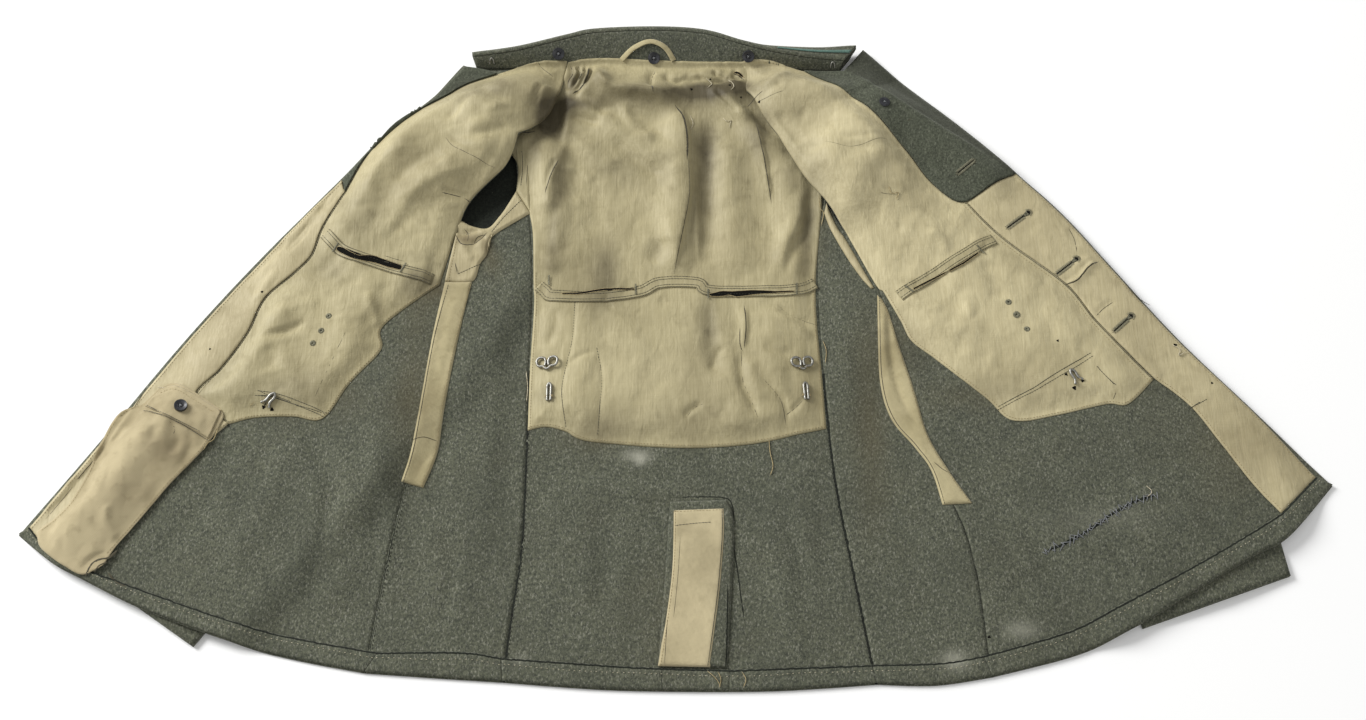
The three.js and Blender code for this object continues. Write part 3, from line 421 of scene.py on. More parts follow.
skirtCreases = creasesOn("whole", 4,
    (7, 9, -3.2, 902, 508, 950, 545, 1000, 578, 1040, 603), (10, 9, 2.4, 925, 500, 975, 540, 1030, 580),
    (6, 6, -2.4, 1104, 540, 1126, 572, 1140, 590), (8, 8, 1.8, 1004, 505, 1020, 545, 1040, 580),
    (6, 6, -2.2, 877, 500, 905, 540, 930, 560), (9, 9, 1.8, 1150, 470, 1180, 500, 1200, 530),
    (9, 9, -2.4, 300, 430, 330, 480, 322, 560), (9, 9, 2.2, 360, 440, 390, 500, 384, 590),
    (7, 7, -2.0, 440, 520, 452, 570, 440, 630), (9, 9, -1.8, 600, 500, 606, 560, 596, 620),
    (8, 8, -2.0, 780, 500, 800, 560, 806, 620), (9, 9, 1.8, 560, 480, 640, 492, 720, 484),
)
woolCreases = skirtCreases + creasesOn("whole", 4,
    (24, 16, 2.4, 395, 400, 376, 480, 352, 560, 334, 612), (20, 14, 2.0, 302, 430, 258, 520, 216, 588),
    (12, 14, -1.8, 452, 300, 442, 420, 428, 520), (12, 10, -1.4, 340, 470, 318, 560, 300, 620),
    (14, 18, 3.0, 905, 520, 960, 556, 1030, 600), (14, 18, 2.4, 880, 440, 930, 530, 992, 640),
    (16, 20, 2.0, 1000, 440, 1082, 524, 1160, 596), (12, 12, -2.2, 880, 350, 906, 430, 914, 500),
    (12, 10, -1.5, 1040, 470, 1100, 560, 1130, 620), (14, 12, 1.4, 500, 300, 492, 420, 482, 560),
    (14, 12, 1.5, 845, 290, 850, 400, 862, 520), (18, 14, 1.5, 562, 470, 552, 560, 545, 640),
    (12, 14, -1.3, 622, 470, 606, 560, 598, 640), (12, 12, 1.5, 770, 500, 780, 570, 792, 640),
    (9, 9, -1.2, 822, 470, 824, 540, 826, 610), (12, 12, -1.3, 240, 440, 196, 520, 150, 570),
)
rightCreases = creasesOn("right", 15,
    (16, 26, 4.2, 1150, 80, 1000, 130, 860, 230, 720, 370, 600, 520, 500, 680),
    (16, 9, -2.6, 910, 440, 820, 475, 730, 530, 650, 630, 550, 780),
    (6, 26, 3.0, 1010, 500, 880, 540, 770, 600, 690, 690, 610, 800),
    (7, 7, -1.6, 1080, 130, 1040, 190, 1120, 240, 1230, 240),
    (7, 9, 2.6, 1280, 170, 1230, 220, 1130, 260, 1010, 300), (5, 6, -3.0, 1010, 205, 960, 250, 905, 320),
    (9, 8, 3.0, 1130, 250, 1060, 330, 960, 370), (6, 6, -2.0, 1160, 330, 1080, 370, 980, 400),
    (2.2, 2.2, -1.1, 890, 360, 930, 402, 1040, 462, 1092, 490), (2.5, 2.5, -1.6, 875, 590, 960, 610, 995, 632),
    (4, 4, 1.0, 900, 630, 950, 645, 985, 660), (5, 5, 2.0, 1180, 350, 1100, 500, 1010, 600),
    (2.5, 2.5, -1.5, 1270, 55, 1300, 90, 1340, 115), (2.5, 3, -2.0, 1292, 160, 1272, 205, 1262, 260),
    (2.5, 3, -2.0, 1345, 190, 1325, 222, 1296, 262), (3.5, 3.5, 2.4, 1316, 160, 1296, 210, 1276, 268),
    (8, 9, -2.6, 470, 780, 420, 860, 330, 960), (8, 8, 1.6, 560, 830, 500, 900, 450, 980),
    (4, 6, -2.6, 130, 1175, 220, 1160, 330, 1108), (9, 8, 1.6, 180, 1090, 280, 1060, 360, 1010),
    (3.5, 6, 2.6, 575, 1000, 600, 1090, 625, 1160), (7, 7, -1.3, 650, 950, 610, 1040, 560, 1130),
    (7, 9, -2.0, 150, 1220, 180, 1290, 190, 1340), (2, 2, -0.8, 475, 1165, 430, 1260, 350, 1430),
    (10, 10, 1.2, 60, 1400, 150, 1330, 300, 1260), (5, 6, -1.7, 870, 870, 830, 960, 760, 1040),
    (3, 3, -1.3, 840, 840, 828, 900, 845, 960), (6, 6, 1.5, 800, 900, 780, 980, 720, 1050),
    (8, 8, -1.2, 560, 560, 500, 640, 450, 720), (3, 3, 1.0, 640, 860, 660, 890, 700, 910),
)
leftCreases = creasesOn("left", 15,
    (5, 5, 3.0, 70, 180, 105, 155, 180, 100), (3, 3, -2.5, 20, 230, 58, 188, 78, 170),
    (4, 4, -1.8, 60, 212, 100, 192, 150, 172), (14, 5, 3.4, 75, 225, 120, 300, 200, 420, 270, 520),
    (20, 18, 3.6, 180, 130, 280, 220, 420, 330, 560, 450), (8, 8, -1.7, 330, 420, 460, 380, 540, 350),
    (6, 6, -1.5, 200, 400, 300, 380, 400, 400), (3, 3, -0.9, 290, 345, 380, 362, 500, 338),
    (7, 7, -2.4, 120, 260, 180, 330, 210, 380), (10, 10, 1.6, 480, 450, 540, 500, 600, 600),
    (10, 10, -1.4, 380, 590, 450, 600, 520, 640), (6, 5, 1.7, 640, 650, 700, 700, 690, 745),
    (2, 2, -0.8, 480, 518, 500, 524, 520, 526), (10, 10, -1.8, 820, 750, 880, 830, 900, 900),
    (6, 6, 1.2, 760, 860, 780, 910, 800, 960), (10, 10, 1.3, 600, 950, 700, 1000, 780, 960),
    (9, 9, -1.1, 940, 1120, 1000, 1180, 1050, 1240), (9, 9, 1.2, 640, 1040, 740, 1120, 840, 1180),
    (9, 9, 1.2, 1040, 900, 1100, 980, 1180, 1050), (5, 5, -1.1, 560, 900, 620, 930, 640, 990),
)
backCreases = creasesOn("back", 9,
    (1.8, 22, 4.6, 600, 205, 640, 260, 658, 340, 662, 430, 668, 560, 640, 700, 600, 880),
    (4, 3, 2.0, 676, 330, 684, 480, 694, 640, 702, 860),
    (14, 9, -4.4, 745, 240, 728, 400, 722, 560, 734, 700, 715, 860), (5, 5, -1.6, 700, 590, 730, 622, 762, 610),
    (8, 6, 6.5, 300, 60, 320, 130, 370, 170, 480, 180, 560, 195, 600, 215),
    (8, 8, -2.8, 300, 205, 380, 252, 440, 310, 520, 335), (9, 8, -4.6, 160, 180, 140, 250, 150, 330, 185, 400),
    (5, 5, -3.0, 190, 250, 250, 265, 320, 290), (4, 6, 2.6, 200, 240, 180, 320, 160, 420, 90, 580),
    (2.5, 3.5, -2.4, 150, 430, 120, 490, 100, 560), (6, 7, 2.8, 390, 210, 440, 290, 500, 340, 560, 330),
    (8, 8, -3.0, 360, 340, 430, 400, 520, 470, 560, 460), (10, 10, 1.6, 230, 340, 300, 420, 400, 470),
    (4, 4, 1.2, 160, 470, 230, 470, 290, 520), (7, 9, -3.4, 130, 600, 120, 740, 150, 860),
    (14, 9, 2.6, 200, 560, 195, 700, 220, 860), (10, 10, -1.1, 300, 460, 300, 640, 330, 800),
    (9, 9, 1.9, 520, 560, 570, 680, 590, 800), (9, 9, -2.2, 560, 740, 540, 790, 515, 850),
    (2, 5, -2.4, 530, 80, 515, 120, 520, 170), (5, 5, -2.0, 560, 90, 600, 140, 640, 110),
    (4, 4, -1.8, 650, 90, 680, 120, 720, 105), (5, 5, 1.8, 700, 92, 750, 76, 800, 95),
    (4, 4, -1.6, 740, 122, 800, 132, 840, 115), (3, 3, -2.6, 830, 90, 850, 112, 880, 100),
    (2.2, 2.6, -4.6, 192, 58, 206, 92, 184, 124, 196, 160), (2.2, 2.6, -4.2, 222, 60, 236, 98, 214, 132, 196, 158),
    (2.4, 3, -4.4, 252, 66, 256, 104, 232, 146, 200, 172), (3, 3.5, -5.0, 282, 70, 274, 112, 250, 150, 214, 182),
    (3, 3, 3.2, 207, 58, 220, 95, 200, 128), (3, 3, 3.4, 238, 62, 246, 100, 224, 140),
    (3, 3, 3.2, 268, 66, 264, 108, 242, 148), (6, 6, -3.4, 180, 190, 240, 186, 300, 215, 340, 260),
    (7, 7, -5.0, 90, 200, 120, 260, 110, 310), (3, 4, -3.2, 640, 128, 700, 112, 770, 126, 850, 108),
    (3, 3, -2.4, 560, 108, 610, 126, 668, 108), (2.4, 2.4, -3.0, 760, 80, 772, 104, 820, 112),
    (2.4, 2.4, -3.4, 850, 70, 840, 100, 862, 122), (3, 3, -2.6, 756, 160, 812, 214, 868, 262),
    (8, 5, 3.2, 740, 140, 780, 200, 840, 240, 900, 290), (12, 6, -4.4, 830, 180, 900, 230, 960, 300, 1010, 340),
    (1.6, 12, 2.8, 925, 290, 945, 370, 960, 440, 985, 600),
    (7, 6, -4.0, 1140, 520, 1150, 600, 1120, 700, 1060, 800, 1045, 900),
    (7, 12, 3.0, 1080, 560, 1100, 640, 1060, 740, 1020, 860), (14, 12, 1.8, 800, 330, 810, 480, 800, 640),
    (2, 2, -0.9, 215, 985, 205, 1130, 180, 1240, 160, 1340), (2, 2, -0.9, 300, 1165, 320, 1280, 308, 1500),
    (5, 5, -1.8, 130, 1000, 140, 1080, 100, 1170), (3, 3, -1.1, 180, 1240, 240, 1195, 300, 1180),
    (8, 10, -3.2, 730, 960, 740, 1060, 760, 1200, 800, 1300), (4, 5, -1.8, 800, 1160, 770, 1200, 750, 1260),
    (1.5, 6, 1.8, 880, 1000, 885, 1080, 878, 1170), (4, 5, -2.4, 862, 1170, 870, 1300, 905, 1370, 930, 1440),
    (6, 6, 2.0, 900, 1200, 920, 1300, 960, 1400), (4, 4, -1.6, 1010, 1000, 1060, 1040, 1165, 1080),
    (5, 5, 1.4, 1000, 1040, 1080, 1080, 1160, 1130), (5, 5, -1.4, 950, 1150, 1000, 1180, 1080, 1190),
    (3, 4, -1.8, 950, 1285, 1000, 1330, 1040, 1390, 1045, 1470), (3, 3, -1.7, 1110, 1360, 1080, 1400, 1040, 1430),
    (4, 3, -1.9, 640, 1440, 680, 1400, 720, 1385), (16, 16, 1.5, 330, 1000, 420, 1100, 520, 1180),
    (14, 14, -1.3, 480, 1220, 560, 1280, 640, 1300), (3, 3, -1.0, 550, 965, 560, 985, 575, 1000),
    (4, 4, -1.0, 330, 965, 350, 1000, 380, 1020), (4, 4, -1.0, 180, 1400, 230, 1430, 250, 1445),
)
lapelFold = ((352, 108), (450, 172), (560, 246), (700, 330), (868, 428))
facingCreases = creasesOn("low", 6,
    (3, 4, 1.8, 600, 40, 540, 130, 450, 262), (4, 3, -2.2, 520, 170, 420, 330, 330, 420, 220, 560),
    (3, 3, -1.8, 570, 60, 480, 200, 400, 330), (3, 3, 2.0, 440, 230, 380, 330, 290, 440, 200, 540),
    (2.5, 2.5, -1.8, 330, 400, 250, 502, 190, 572), (2.5, 2.5, 1.4, 300, 390, 230, 480, 160, 560),
) + creasesOn("left", 8,
    (1.6, 8, 2.2, *lapelFold), (7, 7, -1.6, 470, 110, 600, 200, 760, 310, 860, 390),
    (6, 6, 0.8, 430, 240, 560, 330, 700, 420), (4, 3, -1.7, 1120, 640, 1140, 680, 1150, 722),
    (3, 3, -1.9, 1215, 940, 1240, 915, 1272, 893), (3, 3, -1.2, 900, 450, 925, 470, 950, 490),
    (1.4, 6, 2.4, 1110, 832, 1150, 815, 1190, 770, 1215, 755), (4, 4, 1.4, 1130, 780, 1170, 760, 1200, 745),
    (8, 8, 1.1, 1000, 640, 1040, 680, 1080, 760), (3, 3, -1.2, 1320, 840, 1360, 880, 1400, 905),
    (7, 7, 1.2, 1300, 1020, 1380, 1100, 1440, 1170), (3, 3, -1.0, 1500, 1080, 1530, 1100, 1560, 1120),
) + creasesOn("low", 8,
    (3, 3, -1.4, 600, 40, 540, 130, 450, 260), (4, 4, 1.5, 560, 100, 470, 230, 370, 350),
    (3, 3, -1.5, 460, 250, 350, 370, 280, 450), (3.5, 3, -1.5, 330, 400, 250, 500, 190, 570),
    (4, 4, 1.3, 420, 240, 330, 350, 240, 450), (2.5, 2.5, -1.1, 300, 430, 280, 500, 265, 540),
    (3, 3, 1.2, 640, 60, 600, 130, 560, 190),
) + creasesOn("right", 8,
    (4, 4, -1.4, 460, 560, 400, 640, 330, 700), (3, 4, -1.7, 330, 720, 300, 770, 240, 830),
    (5, 5, 1.5, 400, 620, 300, 720, 190, 820), (4, 4, -1.3, 250, 770, 150, 860, 60, 950),
    (5, 5, 1.1, 200, 900, 160, 960, 90, 1060), (3, 3, 0.9, 420, 560, 330, 650, 260, 720),
)
pocketCreases = creasesOn("low", 11,
    (20, 20, 3.0, 640, 150, 560, 300, 480, 450, 330, 620), (5, 5, -1.9, 700, 170, 740, 240, 700, 330),
    (4, 4, -1.2, 655, 200, 640, 240, 650, 270), (4, 5, -1.2, 600, 150, 500, 210, 470, 270),
    (5, 6, -1.6, 770, 210, 790, 280, 760, 390), (5, 6, 1.8, 460, 520, 450, 600, 500, 680),
    (5, 4, -1.8, 850, 250, 800, 350, 740, 440), (5, 5, -1.2, 230, 560, 200, 640, 220, 700),
    (3, 3, -2.6, 340, 800, 380, 745, 450, 722), (3, 3, -2.2, 380, 775, 440, 760, 480, 705),
    (7, 7, -1.1, 400, 330, 360, 420, 380, 520), (1.8, 1.8, -0.8, 560, 112, 620, 128, 720, 156),
)


def bodyHeight(p):
    # what lies beneath lifts the cloth: the sleeves and the collar's leaf
    leafStack = laid["leafWall"] + 2 * layers["gap"]
    beneath = ((sleeveRight, laid["sleeveStack"]), (sleeveLeft, laid["sleeveStack"]), (leafOutline, leafStack))
    high = np.max([rise * fade(outsideBy(p, edge) - laid["tuck"], laid["drape"]) for edge, rise in beneath], axis=0)
    edge, _, _ = nearest(p, bodyEdge)
    calm = 0.3 + 0.7 * (1 - fade(edge, 30))
    loose = creaseHeight(p, woolCreases) + 0.8 * ripple(p, 90, 11) + 0.35 * ripple(p, 34, 12)
    return np.maximum(high + foldHeight(p, skirtFolds) + loose * calm, 0.02)


def frontHeight(p, shoulderFolds):
    edge, _, _ = nearest(p, bodyEdge)
    neck = np.min([np.linalg.norm(p - n, axis=1) for n in neckPoints], axis=0)
    ease = 1 - fade(neck - 4, laid["neckReach"])
    settle = 1 - fade(edge, laid["edgeRoll"])
    overBack = laid["backStack"] * fade(outsideBy(p, backTop) - laid["tuck"], laid["drape"])
    return bodyHeight(p) + ease * (overBack + foldHeight(p, shoulderFolds) * (0.35 + 0.65 * settle))


def rightHeight(p):
    return frontHeight(p, shoulderFoldsRight)


def leftHeight(p):
    return frontHeight(p, shoulderFoldsLeft)


def puffOf(outline, folds, creases, seed, lift, strength):
    # how a lining stands off its wool: nothing at its seams, its ridges and creases inside them
    line = np.vstack([outline, outline[:1]])

    def puff(p):
        d, _, _ = nearest(p, line)
        inside = 1 - fade(d, 26)
        small = 1 - fade(d, 9)
        loose = strength * creaseHeight(p, creases) + lift * inside
        loose = loose + 0.9 * ripple(p, 52, seed) * inside + 0.3 * ripple(p, 19, seed + 1)
        total = foldHeight(p, folds) * inside + loose * small
        return 0.5 * (total + np.sqrt(total ** 2 + 1.6)) - 0.6
    return puff


liningRightOutline = np.vstack([liningRightFacing, liningRightTop, liningRightNeck, back(shoulderNeckRight),
    back(shoulderRight), back(frontArmholeRight), liningRightUnderarm, back(liningRightLower)])
liningLeftOutline = np.vstack([liningLeftFacing, liningLeftLower, liningLeftUnderarm, frontArmholeLeft,
    shoulderLeft, shoulderNeckLeft, liningLeftNeck, liningLeftTop])
backLiningOutline = np.vstack([backLiningRight, backLiningNeck, back(backLiningLeft), back(backLiningLower)])
puffRight = puffOf(liningRightOutline[::2], liningFoldsRight, rightCreases, 21, 5.0, 1.1)
puffLeft = puffOf(liningLeftOutline[::2], liningFoldsLeft, leftCreases, 31, 5.0, 1.15)
puffBack = puffOf(backLiningOutline[::2], backLiningFolds, backCreases, 41, 5.4, 1.25)
print("heights ready")

# materials
# the soil colour is what the soil attribute mixes in: real stains, and painted shade in folds and hollows
cloths = {  # name, then the dark, middle, pale and soil colours
    # painted shade: a near-black copy of the wool, for the sleeve's inside and the dark lines along the wool's
    # seams
    "woolShadow": ("dark wool inside a sleeve", "#0d0f0c", "#23271f", "#343a2f", "#0b0c0a"),
    "wool": ("heathered field-grey wool cloth", "#353830", "#626453", "#a3a293", "#544a32"),
    # painted shade: a darker copy of the wool, for the wool facings whose rolled edges turn away from the light
    "woolDark": ("worn dark wool at folds", "#33362c", "#525647", "#7f8171", "#26251f"),
    "lining": ("tan rayon lining", "#786e4f", "#a19773", "#bab08c", "#2e2616"),
    "facing": ("tan cotton drill facing", "#837857", "#a59a77", "#bbb08e", "#574a2f"),
    "cotton": ("tan cotton sheeting", "#867b58", "#aca17b", "#c0b591", "#51452b"),
    # painted light: paler copies of the lining and the facing for the left front, where the key light falls dimmer
    "liningLeft": ("paler tan rayon lining", "#867c5c", "#b3a883", "#cac09b", "#2e2616"),
    "facingLeft": ("paler tan cotton drill facing", "#8b8060", "#aea37f", "#c3b895", "#574a2f"),
    "drill": ("pale cotton drill", "#94896a", "#b7aa86", "#c8bc99", "#6b5c3c"),
    "grimy": ("grimy pocket cotton", "#85795a", "#a89b79", "#bdb08f", "#4f4128"),
}
cloths = {key: dict(zip(("name", "dark", "mid", "pale", "soil"), row)) for key, row in cloths.items()}


times = {"operation": "MULTIPLY"}
plus = {"operation": "ADD"}


def woolMaterial(s):
    # gives the eye a fulled cloth: pale and dark hairs mixed 1 mm apart, a soft nap and cloudy wear
    return makeMaterial(s["name"], (
        ("cloud", "TexNoise", {"Scale": 14, "Detail": 4}),
        ("heather", "TexNoise", {"Scale": 380, "Detail": 4, "Roughness": 0.75}),
        ("ribs", "Mapping", {"Scale": (1, 0.28, 1), "Rotation": (0, 0, 0.85)}),
        ("twill", "TexNoise", {"Vector": "ribs", "Scale": 900, "Detail": 2}),
        ("hairs", "Mapping", {"Scale": (1, 0.5, 1), "Rotation": (0, 0, -0.5)}),
        ("fleck", "TexNoise", {"Vector": "hairs", "Scale": 620, "Detail": 2, "Roughness": 0.6}),
        ("heatherEdge", "MapRange", {"Value": "heather", "From Min": 0.3, "From Max": 0.7}),
        ("ground", "Mix", {0: "heatherEdge", 6: s["dark"], 7: s["mid"]}),
        ("fleckShare", "MapRange", {"Value": "fleck", "From Min": 0.5, "From Max": 0.75, "To Max": 0.42}),
        ("flecked", "Mix", {0: "fleckShare", 6: "ground.2", 7: s["pale"]}),
        ("cloudShare", "MapRange", {"Value": "cloud", "From Min": 0.35, "From Max": 0.75, "To Max": 0.28}),
        ("clouded", "Mix", {0: "cloudShare", 6: "flecked.2", 7: s["dark"]}),
        # the soil attribute mixes in the soil colour: real stains and painted shade
        ("soil", "Attribute", {}, {"attribute_name": "soil"}),
        ("soiled", "Mix", {0: "soil.Fac", 6: "clouded.2", 7: s["soil"]}),
        ("dust", "Attribute", {}, {"attribute_name": "pale"}),
        ("dustShare", "Math", {0: "dust.Fac", 1: 0.8}, times),
        ("colour", "Mix", {0: "dustShare", 6: "soiled.2", 7: s["pale"]}),
        ("twillShare", "Math", {0: "twill", 1: 0.6}, times),
        ("height", "Math", {0: "heather", 1: "twillShare"}, plus),
        ("nap", "Bump", {"Height": "height", "Distance": 0.0007, "Strength": 0.8}),
        ("shader", "BsdfPrincipled", {
            "Base Color": "colour.2", "Normal": "nap", "Roughness": 0.95, "IOR": 1.5, "Specular IOR Level": 0.25,
            "Sheen Weight": 0.22, "Sheen Roughness": 0.5, "Sheen Tint": "#b9bcae"}),
    ))


def liningMaterial(s, grain=0.0, sheen=0.3):
    # gives the eye a worn silky lining: fine slubs along the warp, small dents, soft highlights, and brown stains
    # with painted shade, both from the soil attribute
    return makeMaterial(s["name"], (
        ("cloud", "TexNoise", {"Scale": 9, "Detail": 5}),
        ("small", "TexNoise", {"Scale": 60, "Detail": 4}),
        ("warpRun", "Mapping", {"Scale": (1, 0.05, 1), "Rotation": (0, 0, grain)}),
        ("slub", "TexNoise", {"Vector": "warpRun", "Scale": 620, "Detail": 2}),
        ("weftRun", "Mapping", {"Scale": (0.07, 1, 1), "Rotation": (0, 0, grain)}),
        ("weft", "TexNoise", {"Vector": "weftRun", "Scale": 760, "Detail": 2}),
        ("dentRun", "Mapping", {"Scale": (1, 0.45, 1), "Rotation": (0, 0, grain + 0.5)}),
        ("crumple", "TexNoise", {"Vector": "dentRun", "Scale": 95, "Detail": 3, "Roughness": 0.5,
            "Distortion": 0.8}),
        ("slubEdge", "MapRange", {"Value": "slub", "From Min": 0.3, "From Max": 0.7}),
        ("slubbed", "Mix", {0: "slubEdge", 6: s["mid"], 7: s["pale"]}),
        ("ground", "Mix", {0: 0.55, 6: "slubbed.2", 7: s["mid"]}),
        ("cloudShare", "MapRange", {"Value": "cloud", "From Min": 0.42, "From Max": 0.72, "To Max": 0.5}),
        ("clouded", "Mix", {0: "cloudShare", 6: "ground.2", 7: s["dark"]}),
        ("smallShare", "MapRange", {"Value": "small", "From Min": 0.5, "From Max": 0.8, "To Max": 0.35}),
        ("worn", "Mix", {0: "smallShare", 6: "clouded.2", 7: s["dark"]}),
        ("soil", "Attribute", {}, {"attribute_name": "soil"}),
        ("patchy", "Math", {0: "small", 1: 0.8}, times),
        ("patches", "Math", {0: 0.55, 1: "patchy"}, plus),
        ("stain", "Math", {0: "soil.Fac", 1: "patches"}, times),
        ("stainShare", "Math", {0: "stain", 1: 0.85}, {"operation": "MINIMUM"}),
        ("stained", "Mix", {0: "stainShare", 6: "worn.2", 7: s["soil"]}),
        ("dust", "Attribute", {}, {"attribute_name": "pale"}),
        ("dustShare", "Math", {0: "dust.Fac", 1: 0.7}, times),
        ("colour", "Mix", {0: "dustShare", 6: "stained.2", 7: s["pale"]}),
        ("threads", "Math", {0: "slub", 1: "weft"}, plus),
        ("weave", "Bump", {"Height": "threads", "Distance": 0.00025, "Strength": 0.7}),
        ("dents", "Bump", {"Height": "crumple", "Distance": 0.0016, "Strength": 0.55, "Normal": "weave"}),
        ("dullness", "Math", {0: "small", 1: 0.25}, times),
        ("rough", "Math", {0: 0.5, 1: "dullness"}, plus),
        ("shader", "BsdfPrincipled", {
            "Base Color": "colour.2", "Normal": "dents", "Roughness": "rough", "IOR": 1.47,
            "Specular IOR Level": 0.35, "Sheen Weight": sheen, "Sheen Roughness": 0.35, "Sheen Tint": "#efe6c4"}),
    ))


def cottonMaterial(s, grain=0.0):
    # gives the eye a plain woven cotton: threads drawn 1.2 mm apart each way so that they show, stains and painted
    # shade from the soil attribute
    threads = {"Vector": "turned", "Scale": 270.0, "Distortion": 1.6, "Detail": 2.0, "Detail Scale": 1.5}
    return makeMaterial(s["name"], (
        ("turned", "Mapping", {"Rotation": (0, 0, grain)}),
        ("warp", "TexWave", threads, {"bands_direction": "X"}),
        ("weft", "TexWave", threads, {"bands_direction": "Y"}),
        ("cloud", "TexNoise", {"Scale": 16, "Detail": 5}),
        ("small", "TexNoise", {"Scale": 90, "Detail": 4}),
        ("both", "Math", {0: "warp.Fac", 1: "weft.Fac"}, plus),
        ("bothEdge", "MapRange", {"Value": "both", "From Min": 0.4, "From Max": 1.6}),
        ("woven", "Mix", {0: "bothEdge", 6: s["mid"], 7: s["pale"]}),
        ("ground", "Mix", {0: 0.5, 6: "woven.2", 7: s["mid"]}),
        ("cloudShare", "MapRange", {"Value": "cloud", "From Min": 0.4, "From Max": 0.7, "To Max": 0.6}),
        ("clouded", "Mix", {0: "cloudShare", 6: "ground.2", 7: s["dark"]}),
        ("smallShare", "MapRange", {"Value": "small", "From Min": 0.52, "From Max": 0.75, "To Max": 0.4}),
        ("worn", "Mix", {0: "smallShare", 6: "clouded.2", 7: s["dark"]}),
        ("soil", "Attribute", {}, {"attribute_name": "soil"}),
        ("soilShare", "Math", {0: "soil.Fac", 1: 0.92}, {"operation": "MINIMUM"}),
        ("colour", "Mix", {0: "soilShare", 6: "worn.2", 7: s["soil"]}),
        ("highThread", "Math", {0: "warp.Fac", 1: "weft.Fac"}, {"operation": "MAXIMUM"}),
        ("weave", "Bump", {"Height": "highThread", "Distance": 0.0003, "Strength": 0.6}),
        ("dents", "Bump", {"Height": "small", "Distance": 0.0012, "Strength": 0.6, "Normal": "weave"}),
        ("shader", "BsdfPrincipled", {
            "Base Color": "colour.2", "Normal": "dents", "Roughness": 0.9, "IOR": 1.53, "Specular IOR Level": 0.25,
            "Sheen Weight": 0.15}),
    ))


def buttonMaterial():
    # gives the eye a moulded navy-black button, slightly scratched, soft highlight
    return makeMaterial("navy-black moulded button", (
        ("mottle", "TexNoise", {"Scale": 260, "Detail": 3}),
        ("scratchRun", "Mapping", {"Scale": (1, 0.08, 1), "Rotation": (0, 0, 0.6)}),
        ("scratch", "TexNoise", {"Vector": "scratchRun", "Scale": 1500, "Detail": 2}),
        ("mottleEdge", "MapRange", {"Value": "mottle", "From Min": 0.35, "From Max": 0.7}),
        ("colour", "Mix", {0: "mottleEdge", 6: "#131418", 7: "#2a2b30"}),
        ("marks", "Bump", {"Height": "scratch", "Distance": 0.00012, "Strength": 0.5}),
        ("dullness", "Math", {0: "mottle", 1: 0.25}, times),
        ("rough", "Math", {0: 0.28, 1: "dullness"}, plus),
        ("shader", "BsdfPrincipled", {"Base Color": "colour.2", "Normal": "marks", "Roughness": "rough",
            "IOR": 1.54}),
    ))


def steelMaterial():
    # gives the eye dull old steel wire with faint brown spots
    return makeMaterial("dull steel wire", (
        ("spots", "TexNoise", {"Scale": 700, "Detail": 4}),
        ("spotEdge", "MapRange", {"Value": "spots", "From Min": 0.5, "From Max": 0.72}),
        ("colour", "Mix", {0: "spotEdge", 6: "#96958e", 7: "#5a4e3d"}),
        ("dullness", "Math", {0: "spots", 1: 0.35}, times),
        ("rough", "Math", {0: 0.3, 1: "dullness"}, plus),
        ("shader", "BsdfPrincipled", {"Base Color": "colour.2", "Roughness": "rough", "Metallic": 0.9}),
    ))


def threadMaterial(name, pale, dark):
    # gives the eye twisted cotton thread
    return makeMaterial(name, (
        ("plyRun", "Mapping", {"Scale": (1, 0.3, 1), "Rotation": (0, 0, 0.7)}),
        ("twist", "TexNoise", {"Vector": "plyRun", "Scale": 1800, "Detail": 2}),
        ("twistEdge", "MapRange", {"Value": "twist", "From Min": 0.35, "From Max": 0.65}),
        ("colour", "Mix", {0: "twistEdge", 6: dark, 7: pale}),
        ("plies", "Bump", {"Height": "twist", "Distance": 0.0002, "Strength": 0.6}),
        ("shader", "BsdfPrincipled", {
            "Base Color": "colour.2", "Normal": "plies", "Roughness": 0.85, "Specular IOR Level": 0.3,
            "Sheen Weight": 0.2}),
    ))


def shadowMaterial():
    # painted shade: the black inside of a cut or a worn hole, a dark felted-fibre colour standing in for the shadow
    # there
    return makeMaterial("painted shade inside a cut or hole", (
        ("fibre", "TexNoise", {"Scale": 900, "Detail": 3}),
        ("colour", "Mix", {0: "fibre", 6: "#0b0b0a", 7: "#1d1c18"}),
        ("shader", "BsdfPrincipled", {"Base Color": "colour.2", "Roughness": 1.0, "Specular IOR Level": 0.05}),
    ))


materials = {
    "wool": woolMaterial(cloths["wool"]),
    "woolDark": woolMaterial(cloths["woolDark"]),
    "lining": liningMaterial(cloths["lining"], 0.1),
    "liningTurned": liningMaterial(cloths["lining"], 0.75),
    # the left front's lightened copies: painted light
    "liningLeft": liningMaterial(cloths["liningLeft"], 0.75),
    "facingLeft": liningMaterial(cloths["facingLeft"], 0.95, 0.15),
    "facing": liningMaterial(cloths["facing"], 0.95, 0.15),
    "cotton": cottonMaterial(cloths["cotton"], 0.2),
    "grimy": cottonMaterial(cloths["grimy"], 0.6),
    "drill": cottonMaterial(cloths["drill"], 0.1),
    "button": buttonMaterial(),
    "steel": steelMaterial(),
    "darkThread": threadMaterial("dark green sewing thread", "#4b4c3c", "#2f3026"),
    "tanThread": threadMaterial("tan sewing thread", "#b3a278", "#7d6e4a"),
    "paleThread": threadMaterial("pale cotton thread", "#cfc6ac", "#8f866c"),
    "greyThread": threadMaterial("grey darning wool", "#888a8b", "#505254"),
    "oliveThread": threadMaterial("olive buttonhole thread", "#8b8870", "#5a5844"),
    "tape": threadMaterial("woven grey-green tape", "#5b7a6e", "#3e574e"),
    "shadow": shadowMaterial(),
    "woolShadow": woolMaterial(cloths["woolShadow"]),
    # painted shade for the dark lines along seams and creases
    "seam": threadMaterial("painted shade of pressed seams and creases", "#4d4733", "#332f22"),
}
print("materials ready")


